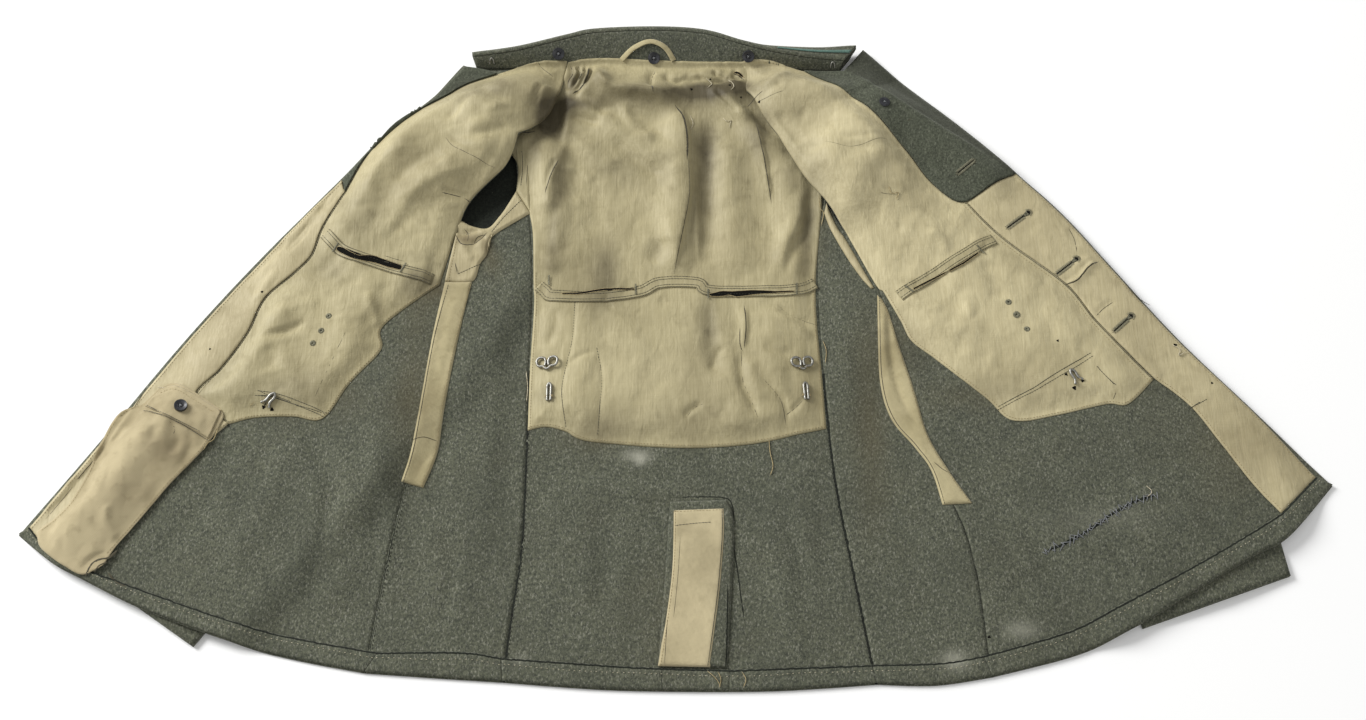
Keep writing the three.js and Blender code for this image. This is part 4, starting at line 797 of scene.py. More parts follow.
# surfaces
def coons(bottom, top, left, right, step):
    # the patch between four edges: S(u,v) = (1-v)B(u) + vT(u) + (1-u)L(v) + uR(v) - corners mixed by (u,v)
    nu = max(3, int(max(lengthOf(bottom), lengthOf(top)) / step) + 1)
    nv = max(3, int(max(lengthOf(left), lengthOf(right)) / step) + 1)
    b, t = spaced(bottom, nu)[None], spaced(top, nu)[None]
    l, r = spaced(left, nv)[:, None], spaced(right, nv)[:, None]
    u = np.linspace(0, 1, nu)[None, :, None]
    v = np.linspace(0, 1, nv)[:, None, None]
    corners = (1 - u) * (1 - v) * b[:, :1] + u * (1 - v) * b[:, -1:] + (1 - u) * v * t[:, :1] + u * v * t[:, -1:]
    return (1 - v) * b + v * t + (1 - u) * l + u * r - corners


def gridFaces(rows, columns, closed=False):
    c = columns if closed else columns - 1
    i = np.arange((rows - 1) * c)
    r, k = i // c, i % c
    n = (k + 1) % columns
    return np.stack([r * columns + k, r * columns + n, (r + 1) * columns + n, (r + 1) * columns + k], axis=1)


def meshFrom(name, verts, faces, material):
    # verts in metres; faces as an array of quads
    mesh = bpy.data.meshes.new(name)
    mesh.vertices.add(len(verts))
    mesh.vertices.foreach_set("co", np.ascontiguousarray(verts, np.float32).ravel())
    mesh.loops.add(faces.size)
    mesh.loops.foreach_set("vertex_index", faces.astype(np.int32).ravel())
    mesh.polygons.add(len(faces))
    mesh.polygons.foreach_set("loop_start", np.arange(0, faces.size, faces.shape[1], dtype=np.int32))
    mesh.update(calc_edges=True)
    mesh.polygons.foreach_set("use_smooth", np.full(len(faces), True))
    mesh.validate()
    mesh.materials.append(material)
    obj = bpy.data.objects.new(name, mesh)
    scene.collection.objects.link(obj)
    return obj


def toWorld(points):
    # laid plan in mm to the frame's metres
    out = np.array(points, float)
    out[:, :2] += originShift
    return out / 1000


def bind(obj, node=None):
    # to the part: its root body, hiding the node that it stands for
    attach(obj, "root")
    if node:
        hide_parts(node)


def setAttribute(obj, name, values):
    layer = obj.data.attributes.new(name, "FLOAT", "POINT")
    layer.data.foreach_set("value", np.ascontiguousarray(values, np.float32))


def thicken(obj, wall):
    # the surface is the upper side; the cloth's thickness goes down from it
    mod = obj.modifiers.new("wall", "SOLIDIFY")
    mod.thickness = wall / 1000
    mod.offset = -1
    mod.use_even_offset = False


# stains and painted shade in one attribute: real stains at the neck and elsewhere, and darkening painted into
# folds, troughs, the underarm cup and under the fronts' edges. Each spot: pixel x, y, reach across and down,
# amount, cloth height in mm
soilAndShadeSpots = (
    (566, 100, 12, 8, 0.8, 16), (586, 102, 16, 7, 0.4, 16), (545, 122, 9, 14, 0.6, 12), (571, 78, 5, 12, 0.5, 24),
    (586, 74, 5, 12, 0.4, 24), (738, 76, 12, 6, 0.6, 26), (732, 80, 18, 8, 0.75, 26), (700, 84, 24, 8, 0.45, 24),
    (574, 72, 10, 12, 0.5, 24), (548, 118, 12, 18, 0.7, 14), (552, 250, 7, 34, 0.25, 8), (806, 236, 7, 40, 0.45, 8),
    (622, 168, 30, 16, 0.18, 10), (655, 250, 14, 22, 0.2, 10), (700, 330, 14, 26, 0.18, 10),
    (536, 148, 8, 20, 0.4, 8), (492, 262, 10, 16, 0.4, 8), (414, 285, 14, 12, 0.35, 10),
    (438, 288, 14, 12, 0.3, 10), (452, 268, 16, 8, 0.2, 10), (352, 240, 30, 34, 0.14, 12),
    (500, 90, 40, 20, 0.18, 20), (468, 240, 14, 7, 0.8, 10), (486, 248, 6, 8, 0.6, 10), (556, 112, 14, 14, 0.7, 12),
    (600, 76, 16, 10, 0.3, 16), (764, 66, 14, 8, 0.35, 18), (706, 150, 10, 46, 0.35, 12),
    (760, 130, 14, 26, 0.4, 12), (556, 180, 8, 40, 0.25, 10), (370, 215, 22, 26, 0.18, 16),
    (330, 270, 20, 14, 0.22, 14), (712, 330, 12, 40, 0.22, 10), (545, 394, 12, 10, 0.3, 10),
    (800, 395, 12, 14, 0.2, 10), (700, 92, 46, 9, 0.35, 14), (606, 268, 16, 26, 0.55, 9),
    (598, 300, 22, 20, 0.35, 9), (640, 96, 50, 14, 0.45, 14), (720, 92, 60, 16, 0.4, 14),
    (560, 200, 14, 80, 0.3, 10), (812, 205, 16, 60, 0.35, 10), (690, 420, 110, 20, 0.22, 8),
    (598, 430, 34, 18, 0.3, 8), (424, 290, 26, 40, 0.3, 12), (300, 395, 60, 22, 0.35, 10),
    (900, 345, 30, 40, 0.22, 12), (1000, 395, 70, 16, 0.25, 10), (470, 90, 60, 20, 0.3, 18),
    (800, 80, 50, 14, 0.35, 18), (170, 452, 22, 16, 0.35, 12), (132, 492, 26, 20, 0.2, 10),
    (230, 330, 30, 60, 0.2, 12), (1240, 440, 60, 50, 0.25, 12), (1140, 330, 40, 60, 0.15, 12),
    (660, 620, 40, 60, 0.12, 8), (412, 400, 20, 60, 0.35, 8), (870, 420, 18, 90, 0.35, 8),
    (704, 140, 14, 26, 0.35, 12), (703, 190, 12, 30, 0.3, 10), (700, 230, 12, 26, 0.3, 10),
    (790, 170, 12, 30, 0.3, 10), (709, 320, 8, 40, 0.25, 8), (600, 150, 46, 60, 0.15, 12),
    (665, 160, 40, 60, 0.12, 12), (745, 150, 50, 70, 0.2, 12), (495, 104, 50, 20, 0.12, 18),
)


# the stains and the painted shade at each plan point
def soilAndShadeAt(p):
    total = np.zeros(len(p))
    for px, py, rx, ry, amount, height in soilAndShadeSpots:
        c = fromPhoto((px, py), height)
        d = np.sqrt(((p[:, 0] - c[0]) / rx) ** 2 + ((p[:, 1] - c[1]) / (ry * 1.1)) ** 2)
        total += amount * np.exp(-d ** 2)
    return np.clip(total + 0.06 * ripple(p, 60, 5), 0, 1)


paleSpots = ((955, 660, 12, 9, 0.7), (1022, 630, 16, 8, 0.5), (637, 455, 14, 6, 0.7), (640, 460, 5, 5, 0.9),
    (1100, 520, 50, 12, 0.12), (520, 660, 8, 5, 0.3), (650, 372, 70, 36, 0.45))


def paleAt(p):
    # dust and pale stains
    total = np.zeros(len(p))
    for px, py, rx, ry, amount in paleSpots:
        c = fromPhoto((px, py), 4)
        d = np.sqrt(((p[:, 0] - c[0]) / rx) ** 2 + ((p[:, 1] - c[1]) / ry) ** 2)
        total += amount * np.exp(-d ** 2)
    return np.clip(total, 0, 1)


# every cloth piece of the body: its edges, the height it lies at, how it stands off, its wall and its cloth
def layCloth(name, patch, height, above, wall, material, puff=None, edges=(), tint=None, over=False):
    rows, columns = patch.shape[:2]
    p = patch.reshape(-1, 2)

    def upperSide(q):
        z = height(q) + above + wall
        if puff is not None:
            z = z + puff(q)
        for line, reach, drop in edges:
            t = np.clip(1 - nearest(q, line)[0] / reach, 0, 1)
            z = z - drop * (1 - np.sqrt(np.clip(1 - t * t, 0, 1)))
        if over:
            onStand = q[:, 1] > 322
            lapHeight = standTop(q[onStand]) + collar["standWall"] / 2 + 1.4 + 0.7 * ripple(q[onStand], 21, 44)
            z[onStand] = np.maximum(z[onStand], lapHeight)
        return np.maximum(z, wall + 0.02)

    verts = toWorld(np.column_stack([p, upperSide(p)]))
    obj = meshFrom("cloth_" + name, verts, gridFaces(rows, columns), material)
    setAttribute(obj, "soil", np.clip(soilAndShadeAt(p) + (tint(p) if tint else 0), 0, 1))
    setAttribute(obj, "pale", paleAt(p))
    thicken(obj, wall)
    bind(obj, name)
    pieces[name] = obj
    surfaces[name] = upperSide
    declareSheet(verts.reshape(rows, columns, 3))
    return obj


def declareSheet(grid):
    # works out the cut: the longest run each way with a narrow seam, and the cloth's own area with its seams; the
    # values are not kept
    across = np.linalg.norm(np.diff(grid, axis=1), axis=2).sum(1).max() + 0.003
    down = np.linalg.norm(np.diff(grid, axis=0), axis=2).sum(0).max() + 0.003
    a, b, c = grid[:-1, :-1], grid[:-1, 1:], grid[1:, :-1]
    area = 1.12 * np.linalg.norm(np.cross(b - a, c - a), axis=2).sum()
    area = min(max(area, 0.305 * across * down), across * down)


pieces = {}
surfaces = {}
hemSet = np.array([0, 1.2])
neckTopRight = back(neckRight)
parts = {
    "back_panel": (hemBack, neckBack, chain(sideSeamRight, backArmholeRight, backShoulderRight, shoulderNeckRight),
        chain(sideSeamLeft, backArmholeLeft, backShoulderLeft, shoulderNeckLeft)),
    "side_panel_right": (hemSideRight, sideArmholeRight, frontSeamRight, sideSeamRight),
    "side_panel_left": (hemSideLeft, sideArmholeLeft, sideSeamLeft, frontSeamLeft),
    "front_panel_right": (hemRight, neckTopRight, frontEdgeRight, chain(frontSeamRight, frontArmholeRight,
        shoulderRight, shoulderNeckRight)),
    "front_panel_left": (hemLeft, neckLeft, chain(frontSeamLeft, frontArmholeLeft, shoulderLeft, shoulderNeckLeft),
        frontEdgeLeft),
}


def hemPatch(inner, outer):
    low = outer + hemSet
    return coons(low, inner, np.linspace(low[0], inner[0], 6), np.linspace(low[-1], inner[-1], 6),
        meshSteps["hem"])


def straight(a, b):
    return np.linspace(a, b, 5)


wool = layers["wool"]

# sleeves under the fronts
sleeves = {"along": 120, "across": 34, "bulge": 2.6, "ripple": 0.5}


def sleeveSurface(outer, inner, first, bulge, above, seed):
    # rows from shoulder to cuff, each running from the outer to the inner seam, with a low arch between
    o = spaced(outer, sleeves["along"])[int(first * sleeves["along"]):, None]
    i = spaced(inner, sleeves["along"])[int(first * sleeves["along"]):, None]
    t = np.linspace(0, 1, sleeves["across"])[None, :, None]
    p = (1 - t) * o + t * i
    waves = ripple(p.reshape(-1, 2), 60, seed).reshape(p.shape[:2])
    arch = np.sin(np.pi * t[..., 0]) * (bulge + sleeves["ripple"] * bulge / sleeves["bulge"] * waves)
    return np.concatenate([p, (above + wool + arch)[..., None]], axis=2)


def addSleeve(name, outer, inner, first, bulge, above, seed):
    grid = sleeveSurface(outer, inner, first, bulge, above, seed)
    faces = gridFaces(*grid.shape[:2])
    if name.startswith("sleeve_right"):
        faces = faces[:, ::-1]
    obj = meshFrom("cloth_" + name, toWorld(grid.reshape(-1, 3)), faces, materials["wool"])
    flat = grid.reshape(-1, 3)[:, :2]
    setAttribute(obj, "soil", soilAndShadeAt(flat))
    setAttribute(obj, "pale", np.zeros(len(flat)))
    declareSheet(toWorld(grid.reshape(-1, 3)).reshape(grid.shape))
    normals = np.zeros(len(obj.data.polygons) * 3, np.float32)
    obj.data.polygons.foreach_get("normal", normals)
    if normals[2::3].mean() < 0:
        obj.data.flip_normals()
    thicken(obj, wool)
    bind(obj, name)
    pieces[name] = obj


addSleeve("sleeve_right_under", sleeveRightOuter, sleeveRightInner, 0, 0, 0, 91)
addSleeve("sleeve_right_upper", sleeveRightOuter, sleeveRightInner, 4 / 14, sleeves["bulge"], wool + 0.3, 92)
addSleeve("sleeve_left_under", sleeveLeftOuter, sleeveLeftInner, 0, 0, 0, 93)
addSleeve("sleeve_left_upper", sleeveLeftOuter, sleeveLeftInner, 0, sleeves["bulge"], wool + 0.3, 94)

# collar
collar = {"columns": 181, "standWall": 2.6, "leafWall": 3.2, "leafDepth": 46.0}
collarRows = np.array([
    (-224, 334, -227, 342, 15, 0), (-178, 334, -178, 347, 20, 0), (-124, 334, -124, 361, 22, 0),
    (-88, 338, -92, 368, 23, 0), (-25, 334, -25, 370, 24, 0),
    (27, 332, 27, 366, 24, 0), (71, 334, 68, 354, 22, 0), (100, 335, 100, 346, 20, 2), (138, 331, 142, 339, 18, 9),
    (176, 330, 181, 337, 14, 19)], float)


def smoothThrough(p, count):
    # a Catmull-Rom curve through every point, evenly in point number
    before = np.vstack([2 * p[:1] - p[1:2], p[:-1]])
    after = np.vstack([p[1:], 2 * p[-1:] - p[-2:-1]])
    after2 = np.vstack([after[1:], 2 * after[-1:] - after[-2:-1]])
    at = np.linspace(0, len(p) - 1.0001, count)
    i = at.astype(int)
    t = (at - i)[:, None]
    p0, p1, p2, p3 = before[i], p[i], after[i], after2[i]
    return 0.5 * (2 * p1 + (p2 - p0) * t + (2 * p0 - 5 * p1 + 4 * p2 - p3) * t ** 2 + (3 * p1 - p0 - 3 * p2 + p3)
        * t ** 3)


seamPlan = smoothThrough(collarRows[:, :2], collar["columns"])
rollLine = smoothThrough(collarRows[:, 2:5], collar["columns"])
spread = np.maximum(0, smoothThrough(collarRows[:, 5:], collar["columns"])[:, 0])
neckZ = np.where(seamPlan[:, 0] < -124, rightHeight(seamPlan), np.where(seamPlan[:, 0] > 71, leftHeight(seamPlan),
    bodyHeight(seamPlan)))
kernel = np.hanning(15) / np.hanning(15).sum()
neckZ = np.convolve(np.pad(neckZ, 7, mode="edge"), kernel, mode="valid")
seamLine = np.column_stack([seamPlan, neckZ + onWool - collar["standWall"] / 2])
rollLine[:, 2] = np.maximum(rollLine[:, 2], seamLine[:, 2] + 2)


def standRows(count):
    # from the neck seam to the roll, bowed 1.6 mm by a half sine
    c = np.linspace(0, 1, count)[:, None, None]
    rows = (1 - c) * seamLine[None] + c * rollLine[None]
    rows[..., 2] += 1.6 * np.sin(np.pi * c[..., 0])
    return rows


def addSurface(name, grid, wall, material):
    # a wall half to each side of the rows: the mesh is its outer side, Solidify fills inwards
    rows, columns = grid.shape[:2]
    along = np.gradient(grid, axis=1)
    rise = np.gradient(grid, axis=0)
    normal = unit(np.cross(along, rise))
    verts = toWorld((grid + normal * wall / 2).reshape(-1, 3))
    obj = meshFrom("cloth_" + name, verts, gridFaces(rows, columns), material)
    declareSheet(verts.reshape(grid.shape))
    flat = grid.reshape(-1, 3)[:, :2]
    setAttribute(obj, "soil", soilAndShadeAt(flat))
    setAttribute(obj, "pale", np.zeros(len(flat)))
    thicken(obj, wall)
    bind(obj, name)
    pieces[name] = obj
    return normal


stand = standRows(17)
standNormal = addSurface("collar_stand", stand, collar["standWall"], materials["wool"])
rollZ = rollLine[:, 2]
rise = stand[-1] - stand[-2]
rise /= np.linalg.norm(rise, axis=1)[:, None]
outward = stand[-1] - stand[0]
outward[:, 2] = 0
outward /= np.linalg.norm(outward, axis=1)[:, None]
leafRest = collar["leafWall"] / 2 + 0.05
leaf = [rollLine + rise * d for d in (0.5, 2.4)]
for out, spreadShare, share in ((4.6, 0.55, 0.99), (6.4, 1.0, 0.82), (6.6, 1.0, 0.5), (3.5, 0.98, 0.24)):
    row = rollLine + outward * (out + spread * spreadShare)[:, None]
    row[:, 2] = np.maximum(leafRest, leafRest + (rollZ - leafRest) * share)
    leaf.append(row)
for d in (-5, -collar["leafDepth"] / 2, -collar["leafDepth"]):
    row = rollLine + outward * (d * (1 - 0.25 * spread / 22) + spread)[:, None]
    row[:, 2] = leafRest
    leaf.append(row)
leafRows = np.array(leaf)
# the same leaf, finer: rows in between on straight runs
fine = np.linspace(0, len(leafRows) - 1, 41)
low = np.minimum(fine.astype(int), len(leafRows) - 2)
leafFine = leafRows[low] + (fine - low)[:, None, None] * (leafRows[low + 1] - leafRows[low])
addSurface("collar_leaf", leafFine, collar["leafWall"], materials["wool"])
print("sleeves and collar built")


def standTop(q):
    # the stand's height at a plan point, by its share from the seam to the roll
    column = np.argmin(np.abs(stand[0, :, 0][None] - q[:, :1]), axis=1)
    low, high = stand[0, column, 1], stand[-1, column, 1]
    inside = np.clip((q[:, 1] - low) / (high - low), 0, 1)
    share = inside * (len(stand) - 1)
    row = np.minimum(share.astype(int), len(stand) - 2)
    part = share - row
    z = stand[row, column, 2] * (1 - part) + stand[row + 1, column, 2] * part
    return z - 2.2 * fade(np.maximum(q[:, 1] - low + 9, 0), 9)


# cloth of the body
for name, height in (("back_panel", bodyHeight), ("side_panel_right", bodyHeight), ("side_panel_left", bodyHeight),
        ("front_panel_right", rightHeight), ("front_panel_left", leftHeight)):
    bottom, top, left, right = parts[name]
    layCloth(name, coons(bottom, top, left, right, meshSteps["wool"]), height, 0, wool, materials["wool"])
print("wool panels laid")

splitAt = int(np.argmin(np.abs(hemBack[:, 0] - 49)))
hems = {
    "hem_right": (chain(hemTopRight, hemInnerRight), hemRight, rightHeight),
    "hem_side_right": (hemInnerSideRight, hemSideRight, bodyHeight),
    "hem_back_right": (hemInnerBackRight, hemBack[:splitAt + 1], bodyHeight),
    "hem_back_left": (hemInnerBackLeft, hemBack[splitAt:], bodyHeight),
    "hem_side_left": (hemInnerSideLeft, hemSideLeft, bodyHeight),
    "hem_left": (chain(hemInnerLeft, hemTopLeft), hemLeft, leftHeight),
}
for name, (inner, outer, height) in hems.items():
    layCloth(name, hemPatch(inner, outer), height, onWool, wool, materials["wool"],
        edges=((outer, 4.5, 2.4), (inner, 2.5, 1.2)))

lining = layers["lining"]
lowRight = int(np.argmin(np.hypot(liningRightLower[:, 0] + 360, liningRightLower[:, 1] + 90)))
lowLeft = int(np.argmin(np.hypot(liningLeftLower[:, 0] - 337, liningLeftLower[:, 1] + 92)))
neckUpRight = run((-130, 296), (-124, 339))
neckUpLeft = run((73, 300), (71, 339))
linings = {
    "lining_back": ((backLiningLower, backLiningNeck, backLiningRight, backLiningLeft), bodyHeight, puffBack,
        materials["lining"]),
    "lining_front_right": ((liningRightLower[:lowRight + 1], liningRightNeck,
        chain(liningRightFacing, liningRightTop), chain(liningRightLower[lowRight:], back(liningRightUnderarm),
        frontArmholeRight, shoulderRight, neckUpRight)), rightHeight, puffRight, materials["liningTurned"]),
    "lining_front_left": ((back(liningLeftLower[:lowLeft + 1]), liningLeftNeck,
        chain(liningLeftLower[lowLeft:], liningLeftUnderarm, frontArmholeLeft, shoulderLeft, neckUpLeft),
        chain(back(liningLeftFacing), back(liningLeftTop))), leftHeight, puffLeft, materials["liningLeft"]),
}
for name, ((bottom, top, left, right), height, puff, material) in linings.items():
    edge = chain(bottom, right, back(top), back(left))[::2]
    patch = coons(bottom, top, left, right, meshSteps["lining"])
    layCloth(name, patch, height, onWool, lining, material, puff=puff, edges=((edge, 3.5, 0.9),),
        over=True)
print("linings laid")


def facingPuff(p):
    return np.maximum(1.2 * creaseHeight(p, facingCreases) + 0.9 + 0.3 * ripple(p, 26, 61), 0)


facings = {
    "facing_right": ((hemTopRight, straight((-362, 188), (-357, 173)), facingRightEdge,
        chain(facingRightUnder, liningRightFacing)), rightHeight),
    "facing_left": ((hemTopLeft, straight((306, 161), (361, 195)), back(chain(liningLeftFacing, facingLeftUnder)),
        facingLeftEdge), leftHeight),
}
for name, ((bottom, top, left, right), height) in facings.items():
    edge = chain(bottom, right, back(top), back(left))[::2]
    patch = coons(bottom, top, left, right, meshSteps["facing"])
    material = materials["facingLeft" if name == "facing_left" else "facing"]
    layCloth(name, patch, height, onWool, lining, material, puff=facingPuff, edges=((edge, 3.0, 0.8),))

woolFacings = {
    "wool_facing_right": ((straight((-361, 190), (-357, 173)), run((-238, 334), (-216, 330), (-201, 324)),
        run((-361, 190), (-320, 243), (-270, 295), (-238, 334)), liningRightTop), rightHeight),
    "wool_facing_left": ((straight((306, 161), (361, 196)), np.array([(138, 327), (181, 326), (204, 356)], float),
        back(liningLeftTop), run((361, 196), (275, 284), (204, 356))), leftHeight),
}
foldLine = fromEnlarged("left", lapelFold, 8)


def shadeBeyondFold(p):
    # painted shade: past the lapel's fold the turned edge is darkened through the soil attribute
    d, side, _ = nearest(p, foldLine)
    return np.where((side > 0) & (p[:, 0] > 130), 0.42 * np.clip(d / 3, 0, 1), 0)


# the wool facings take the darkened wool copy: painted shade of their rolled edges
for name, ((bottom, top, left, right), height) in woolFacings.items():
    patch = coons(bottom, top, left, right, meshSteps["small"])
    layCloth(name, patch, height, onWool, wool, materials["woolDark"], puff=facingPuff,
        edges=((right if "left" in name else left, 4.0, 1.6),), tint=shadeBeyondFold)

bandCreases = creasesOn("left", 6,
    (3.5, 3, -1.5, 506, 930, 516, 1080, 545, 1200, 590, 1300), (3, 3, 1.2, 488, 900, 490, 1060, 520, 1220),
    (3, 3, 0.8, 1260, 880, 1290, 900, 1310, 930),
) + creasesOn("right", 6,
    (5, 5, 0.8, 935, 1000, 900, 1200, 850, 1400), (2.5, 2.5, -0.8, 980, 960, 960, 1100, 930, 1240),
    (3, 3, -0.7, 850, 1200, 880, 1250, 930, 1270), (4, 3, -2.4, 925, 740, 960, 770, 1000, 760, 1050, 745),
    (3, 3, -1.6, 1000, 820, 1030, 790, 1060, 780), (4, 4, 1.3, 960, 800, 985, 860, 1020, 880),
    (1.4, 1.4, -0.8, 1190, 400, 1196, 480, 1180, 580), (1.4, 1.4, -0.8, 1212, 380, 1218, 480, 1212, 560),
)


def bandPuff(edge):
    # a narrow piece stands off its cloth along its middle, with its own creases
    def puff(p):
        inside = 1 - fade(nearest(p, edge)[0], 3.5)
        return (1.2 + creaseHeight(p, bandCreases)) * inside + 0.3 * ripple(p, 22, 71)
    return puff


def tracedRight(*points):
    return fromEnlarged("right", points, 7)


onBody = {
    "underarm_facing_right": (run(*tracedRight((888, 962), (1000, 962), (1034, 886), (1062, 850), (1080, 782),
        (1160, 728), (1242, 678))), run(*tracedRight((950, 706), (1000, 734), (1064, 742), (1112, 694), (1150, 640),
        (1182, 588))), straight(*tracedRight((888, 962), (950, 706))), straight(*tracedRight((1242, 678),
        (1182, 588))), onWool, lining, "facing", "lining"),
    "underarm_facing_left": (straight((200, 57), (203, 58)), straight((154, 148), (157, 160)),
        run((200, 57), (190, 70), (174, 98), (160, 128), (154, 148)), run((203, 58), (201, 62), (176, 115),
        (167, 131), (157, 160)), onWool, lining, "facing", "lining"),
    "armhole_strip_right": (straight(*tracedRight((1182, 588), (1242, 678))),
        straight(*tracedRight((1180, 350), (1238, 350))), run(*tracedRight((1182, 588), (1190, 500), (1176, 430),
        (1180, 350))), run(*tracedRight((1242, 678), (1240, 560), (1238, 350))), onWool, lining, "lining",
        "lining"),
    "strap_right": (straight((-277, -156), (-255, -162)), straight(*tracedRight((888, 962), (1000, 962))),
        run((-277, -156), (-269, -125), (-263, -80), (-255, -3), *tracedRight((888, 962))),
        run((-255, -162), (-243, -125), (-238, -80), (-228, -3), *tracedRight((1000, 962))), onWool, lining,
        "cotton", "cotton"),
    "strap_left": (straight((261, -182), (291, -179)), straight((206, 50), (210, 46)),
        run((261, -182), (252, -145), (236, -118), (214, -85), (205, -38), (206, 50)),
        run((291, -179), (272, -148), (252, -108), (240, -60), (226, -8), (217, 30), (210, 46)), onWool, lining,
        "cotton", "cotton"),
    "vent_facing": (straight((-20, -345), (46, -346)), straight((-9, -177), (47, -175)),
        run((-20, -345), (-14, -260), (-9, -177)), run((46, -346), (52, -260), (54, -196), (47, -175)), onWool,
        wool, "wool", "wool"),
    "vent_patch": (straight((-20, -345), (30, -346)), straight((-6, -186), (45, -184)),
        run((-20, -345), (-12, -290), (-7, -243), (-6, -186)),
        run((30, -346), (36, -303), (41, -263), (45, -213), (45, -184)), onFacing, lining, "drill", "cotton"),
}
for name, (bottom, top, left, right, above, wall, cloth, slotName) in onBody.items():
    edge = chain(bottom, right, back(top), back(left))
    if name == "underarm_facing_right":
        edge = np.vstack([bottom, back(top)])
    patch = coons(bottom, top, left, right, meshSteps["small"])
    layCloth(name, patch, bodyHeight, above, wall, materials[cloth], puff=bandPuff(edge),
        edges=((edge, 2.5, 0.7),))

pocketOutline = np.array([(-531, -56), (-510, -51), (-464, -80), (-460, -92), (-476, -124), (-503, -159),
    (-541, -214), (-550, -227), (-560, -246), (-569, -252), (-581, -256), (-597, -248), (-611, -239), (-626, -226),
    (-632, -210), (-601, -176), (-572, -89), (-545, -72), (-531, -56)], float)


def pocketPuff(p):
    overHem, _, _ = nearest(p, hemTopRight)
    d, _, _ = nearest(p, pocketOutline)
    inner = 1 - fade(d, 20)
    slack = np.maximum(1.3 * creaseHeight(p, pocketCreases) * (1 - fade(d, 8)) + 2.4 * (1 - fade(d, 18)), -0.2)
    hemStep = (onFacing - onLining) * fade(overHem - 14, 60)
    return hemStep + foldHeight(p, pocketFolds) * inner + slack + facingPuff(p) + 0.7 * ripple(p, 34, 81) * inner


layCloth("dressing_pocket", coons(run((-632, -210), (-626, -226), (-611, -239), (-597, -248), (-581, -256),
    (-569, -252), (-560, -246)), run((-531, -56), (-510, -51), (-464, -80)),
    run((-632, -210), (-601, -176), (-572, -89), (-545, -72), (-531, -56)),
    run((-560, -246), (-550, -227), (-541, -214), (-503, -159), (-476, -124), (-460, -92), (-464, -80)),
    meshSteps["small"]),
    rightHeight, onLining, lining, materials["grimy"], puff=pocketPuff, edges=((pocketOutline, 3, 0.6),))
layCloth("dressing_pocket_band", coons(run((-541, -76), (-520, -88), (-479, -109), (-472, -113)),
    run((-529, -59), (-511, -54), (-467, -80), (-463, -84)), straight((-541, -76), (-529, -59)),
    straight((-472, -113), (-463, -84)), meshSteps["band"]), rightHeight, onLining + lining + layers["gap"], lining,
    materials["grimy"], puff=pocketPuff)


def bandPatch(line, width):
    # two edges, half the width to each side of the run
    step = meshSteps["casing"]
    line = spaced(line, max(3, int(lengthOf(line) / step)))
    n = max(3, int(width / step) + 1)
    s = np.linspace(-0.5, 0.5, n)[:, None, None] * width
    return line[None] + leftOf(line)[None] * s


casings = {
    "strap_casing_back": (run((-147, 62), (-140, 56), (-131, 50), (-82, 49), (-41, 55), (-20, 65), (19, 65),
        (30, 56), (80, 55), (121, 57), (142, 66)), bodyHeight, puffBack),
    "strap_casing_right": (run((-374, 121), (-352, 98), (-320, 86), (-289, 76), (-258, 68)), rightHeight,
        puffRight),
    "strap_casing_left": (run((228, 47), (258, 66), (290, 88), (315, 105), (332, 115)), leftHeight, puffLeft),
}
for name, (line, height, puff) in casings.items():
    layCloth(name, bandPatch(line, 13), height, onLining, layers["tape"], materials["lining"], puff=puff,
        tint=lambda p: 0.1)
print("facings, straps, pocket and casings laid")

# sewing: seam lines, stitches, tacks, eyelets
layerNames = {
    "right": "lining_front_right", "left": "lining_front_left", "back": "lining_back",
    "facingRight": "facing_right", "facingLeft": "facing_left", "pocket": "dressing_pocket",
    "band": "dressing_pocket_band",
    "casingRight": "strap_casing_right", "casingLeft": "strap_casing_left", "casingBack": "strap_casing_back",
    "woolRight": "front_panel_right", "woolLeft": "front_panel_left", "woolBack": "back_panel",
    "sideRight": "side_panel_right", "sideLeft": "side_panel_left",
    "woolFacingLeft": "wool_facing_left", "woolFacingRight": "wool_facing_right", "strapRight": "strap_right",
    "strapLeft": "strap_left",
    "ventPatch": "vent_patch", "ventFacing": "vent_facing", "underarmRight": "underarm_facing_right",
    "underarmLeft": "underarm_facing_left",
    "hemRight": "hem_right", "hemSideRight": "hem_side_right", "hemBackRight": "hem_back_right",
    "hemBackLeft": "hem_back_left", "hemSideLeft": "hem_side_left", "hemLeft": "hem_left",
    "armholeRight": "armhole_strip_right",
}


def onCloth(area, line, layer):
    # pixels of an enlargement to points on a cloth: solved twice for the cloth's own height
    x, y, scale = enlarged[area]
    surface = surfaces[layerNames[layer]]
    pixels = [(x + px / scale, y + py / scale) for px, py in line]
    q = np.array([fromPhoto(pixel, 10) for pixel in pixels])
    for _ in range(2):
        heights = surface(q)
        q = np.array([fromPhoto(pixel, h) for pixel, h in zip(pixels, heights)])
    return q


def drape(q, layer, lift):
    # plan points laid on a cloth
    return np.column_stack([q, surfaces[layerNames[layer]](q) + lift])


def offsetLine(line, by):
    # a run beside a run; plus is to its left
    return line + by * leftOf(line)


class Gather:
    # many small meshes of one material, joined in one piece
    def __init__(self):
        self.verts, self.faces, self.count = [], [], 0

    def add(self, verts, faces):
        self.verts.append(verts)
        self.faces.append(faces + self.count)
        self.count += len(verts)

    def build(self, name, material, slotName):
        verts, faces = np.vstack(self.verts), np.vstack(self.faces)
        bind(meshFrom(name, toWorld(verts), faces, material))


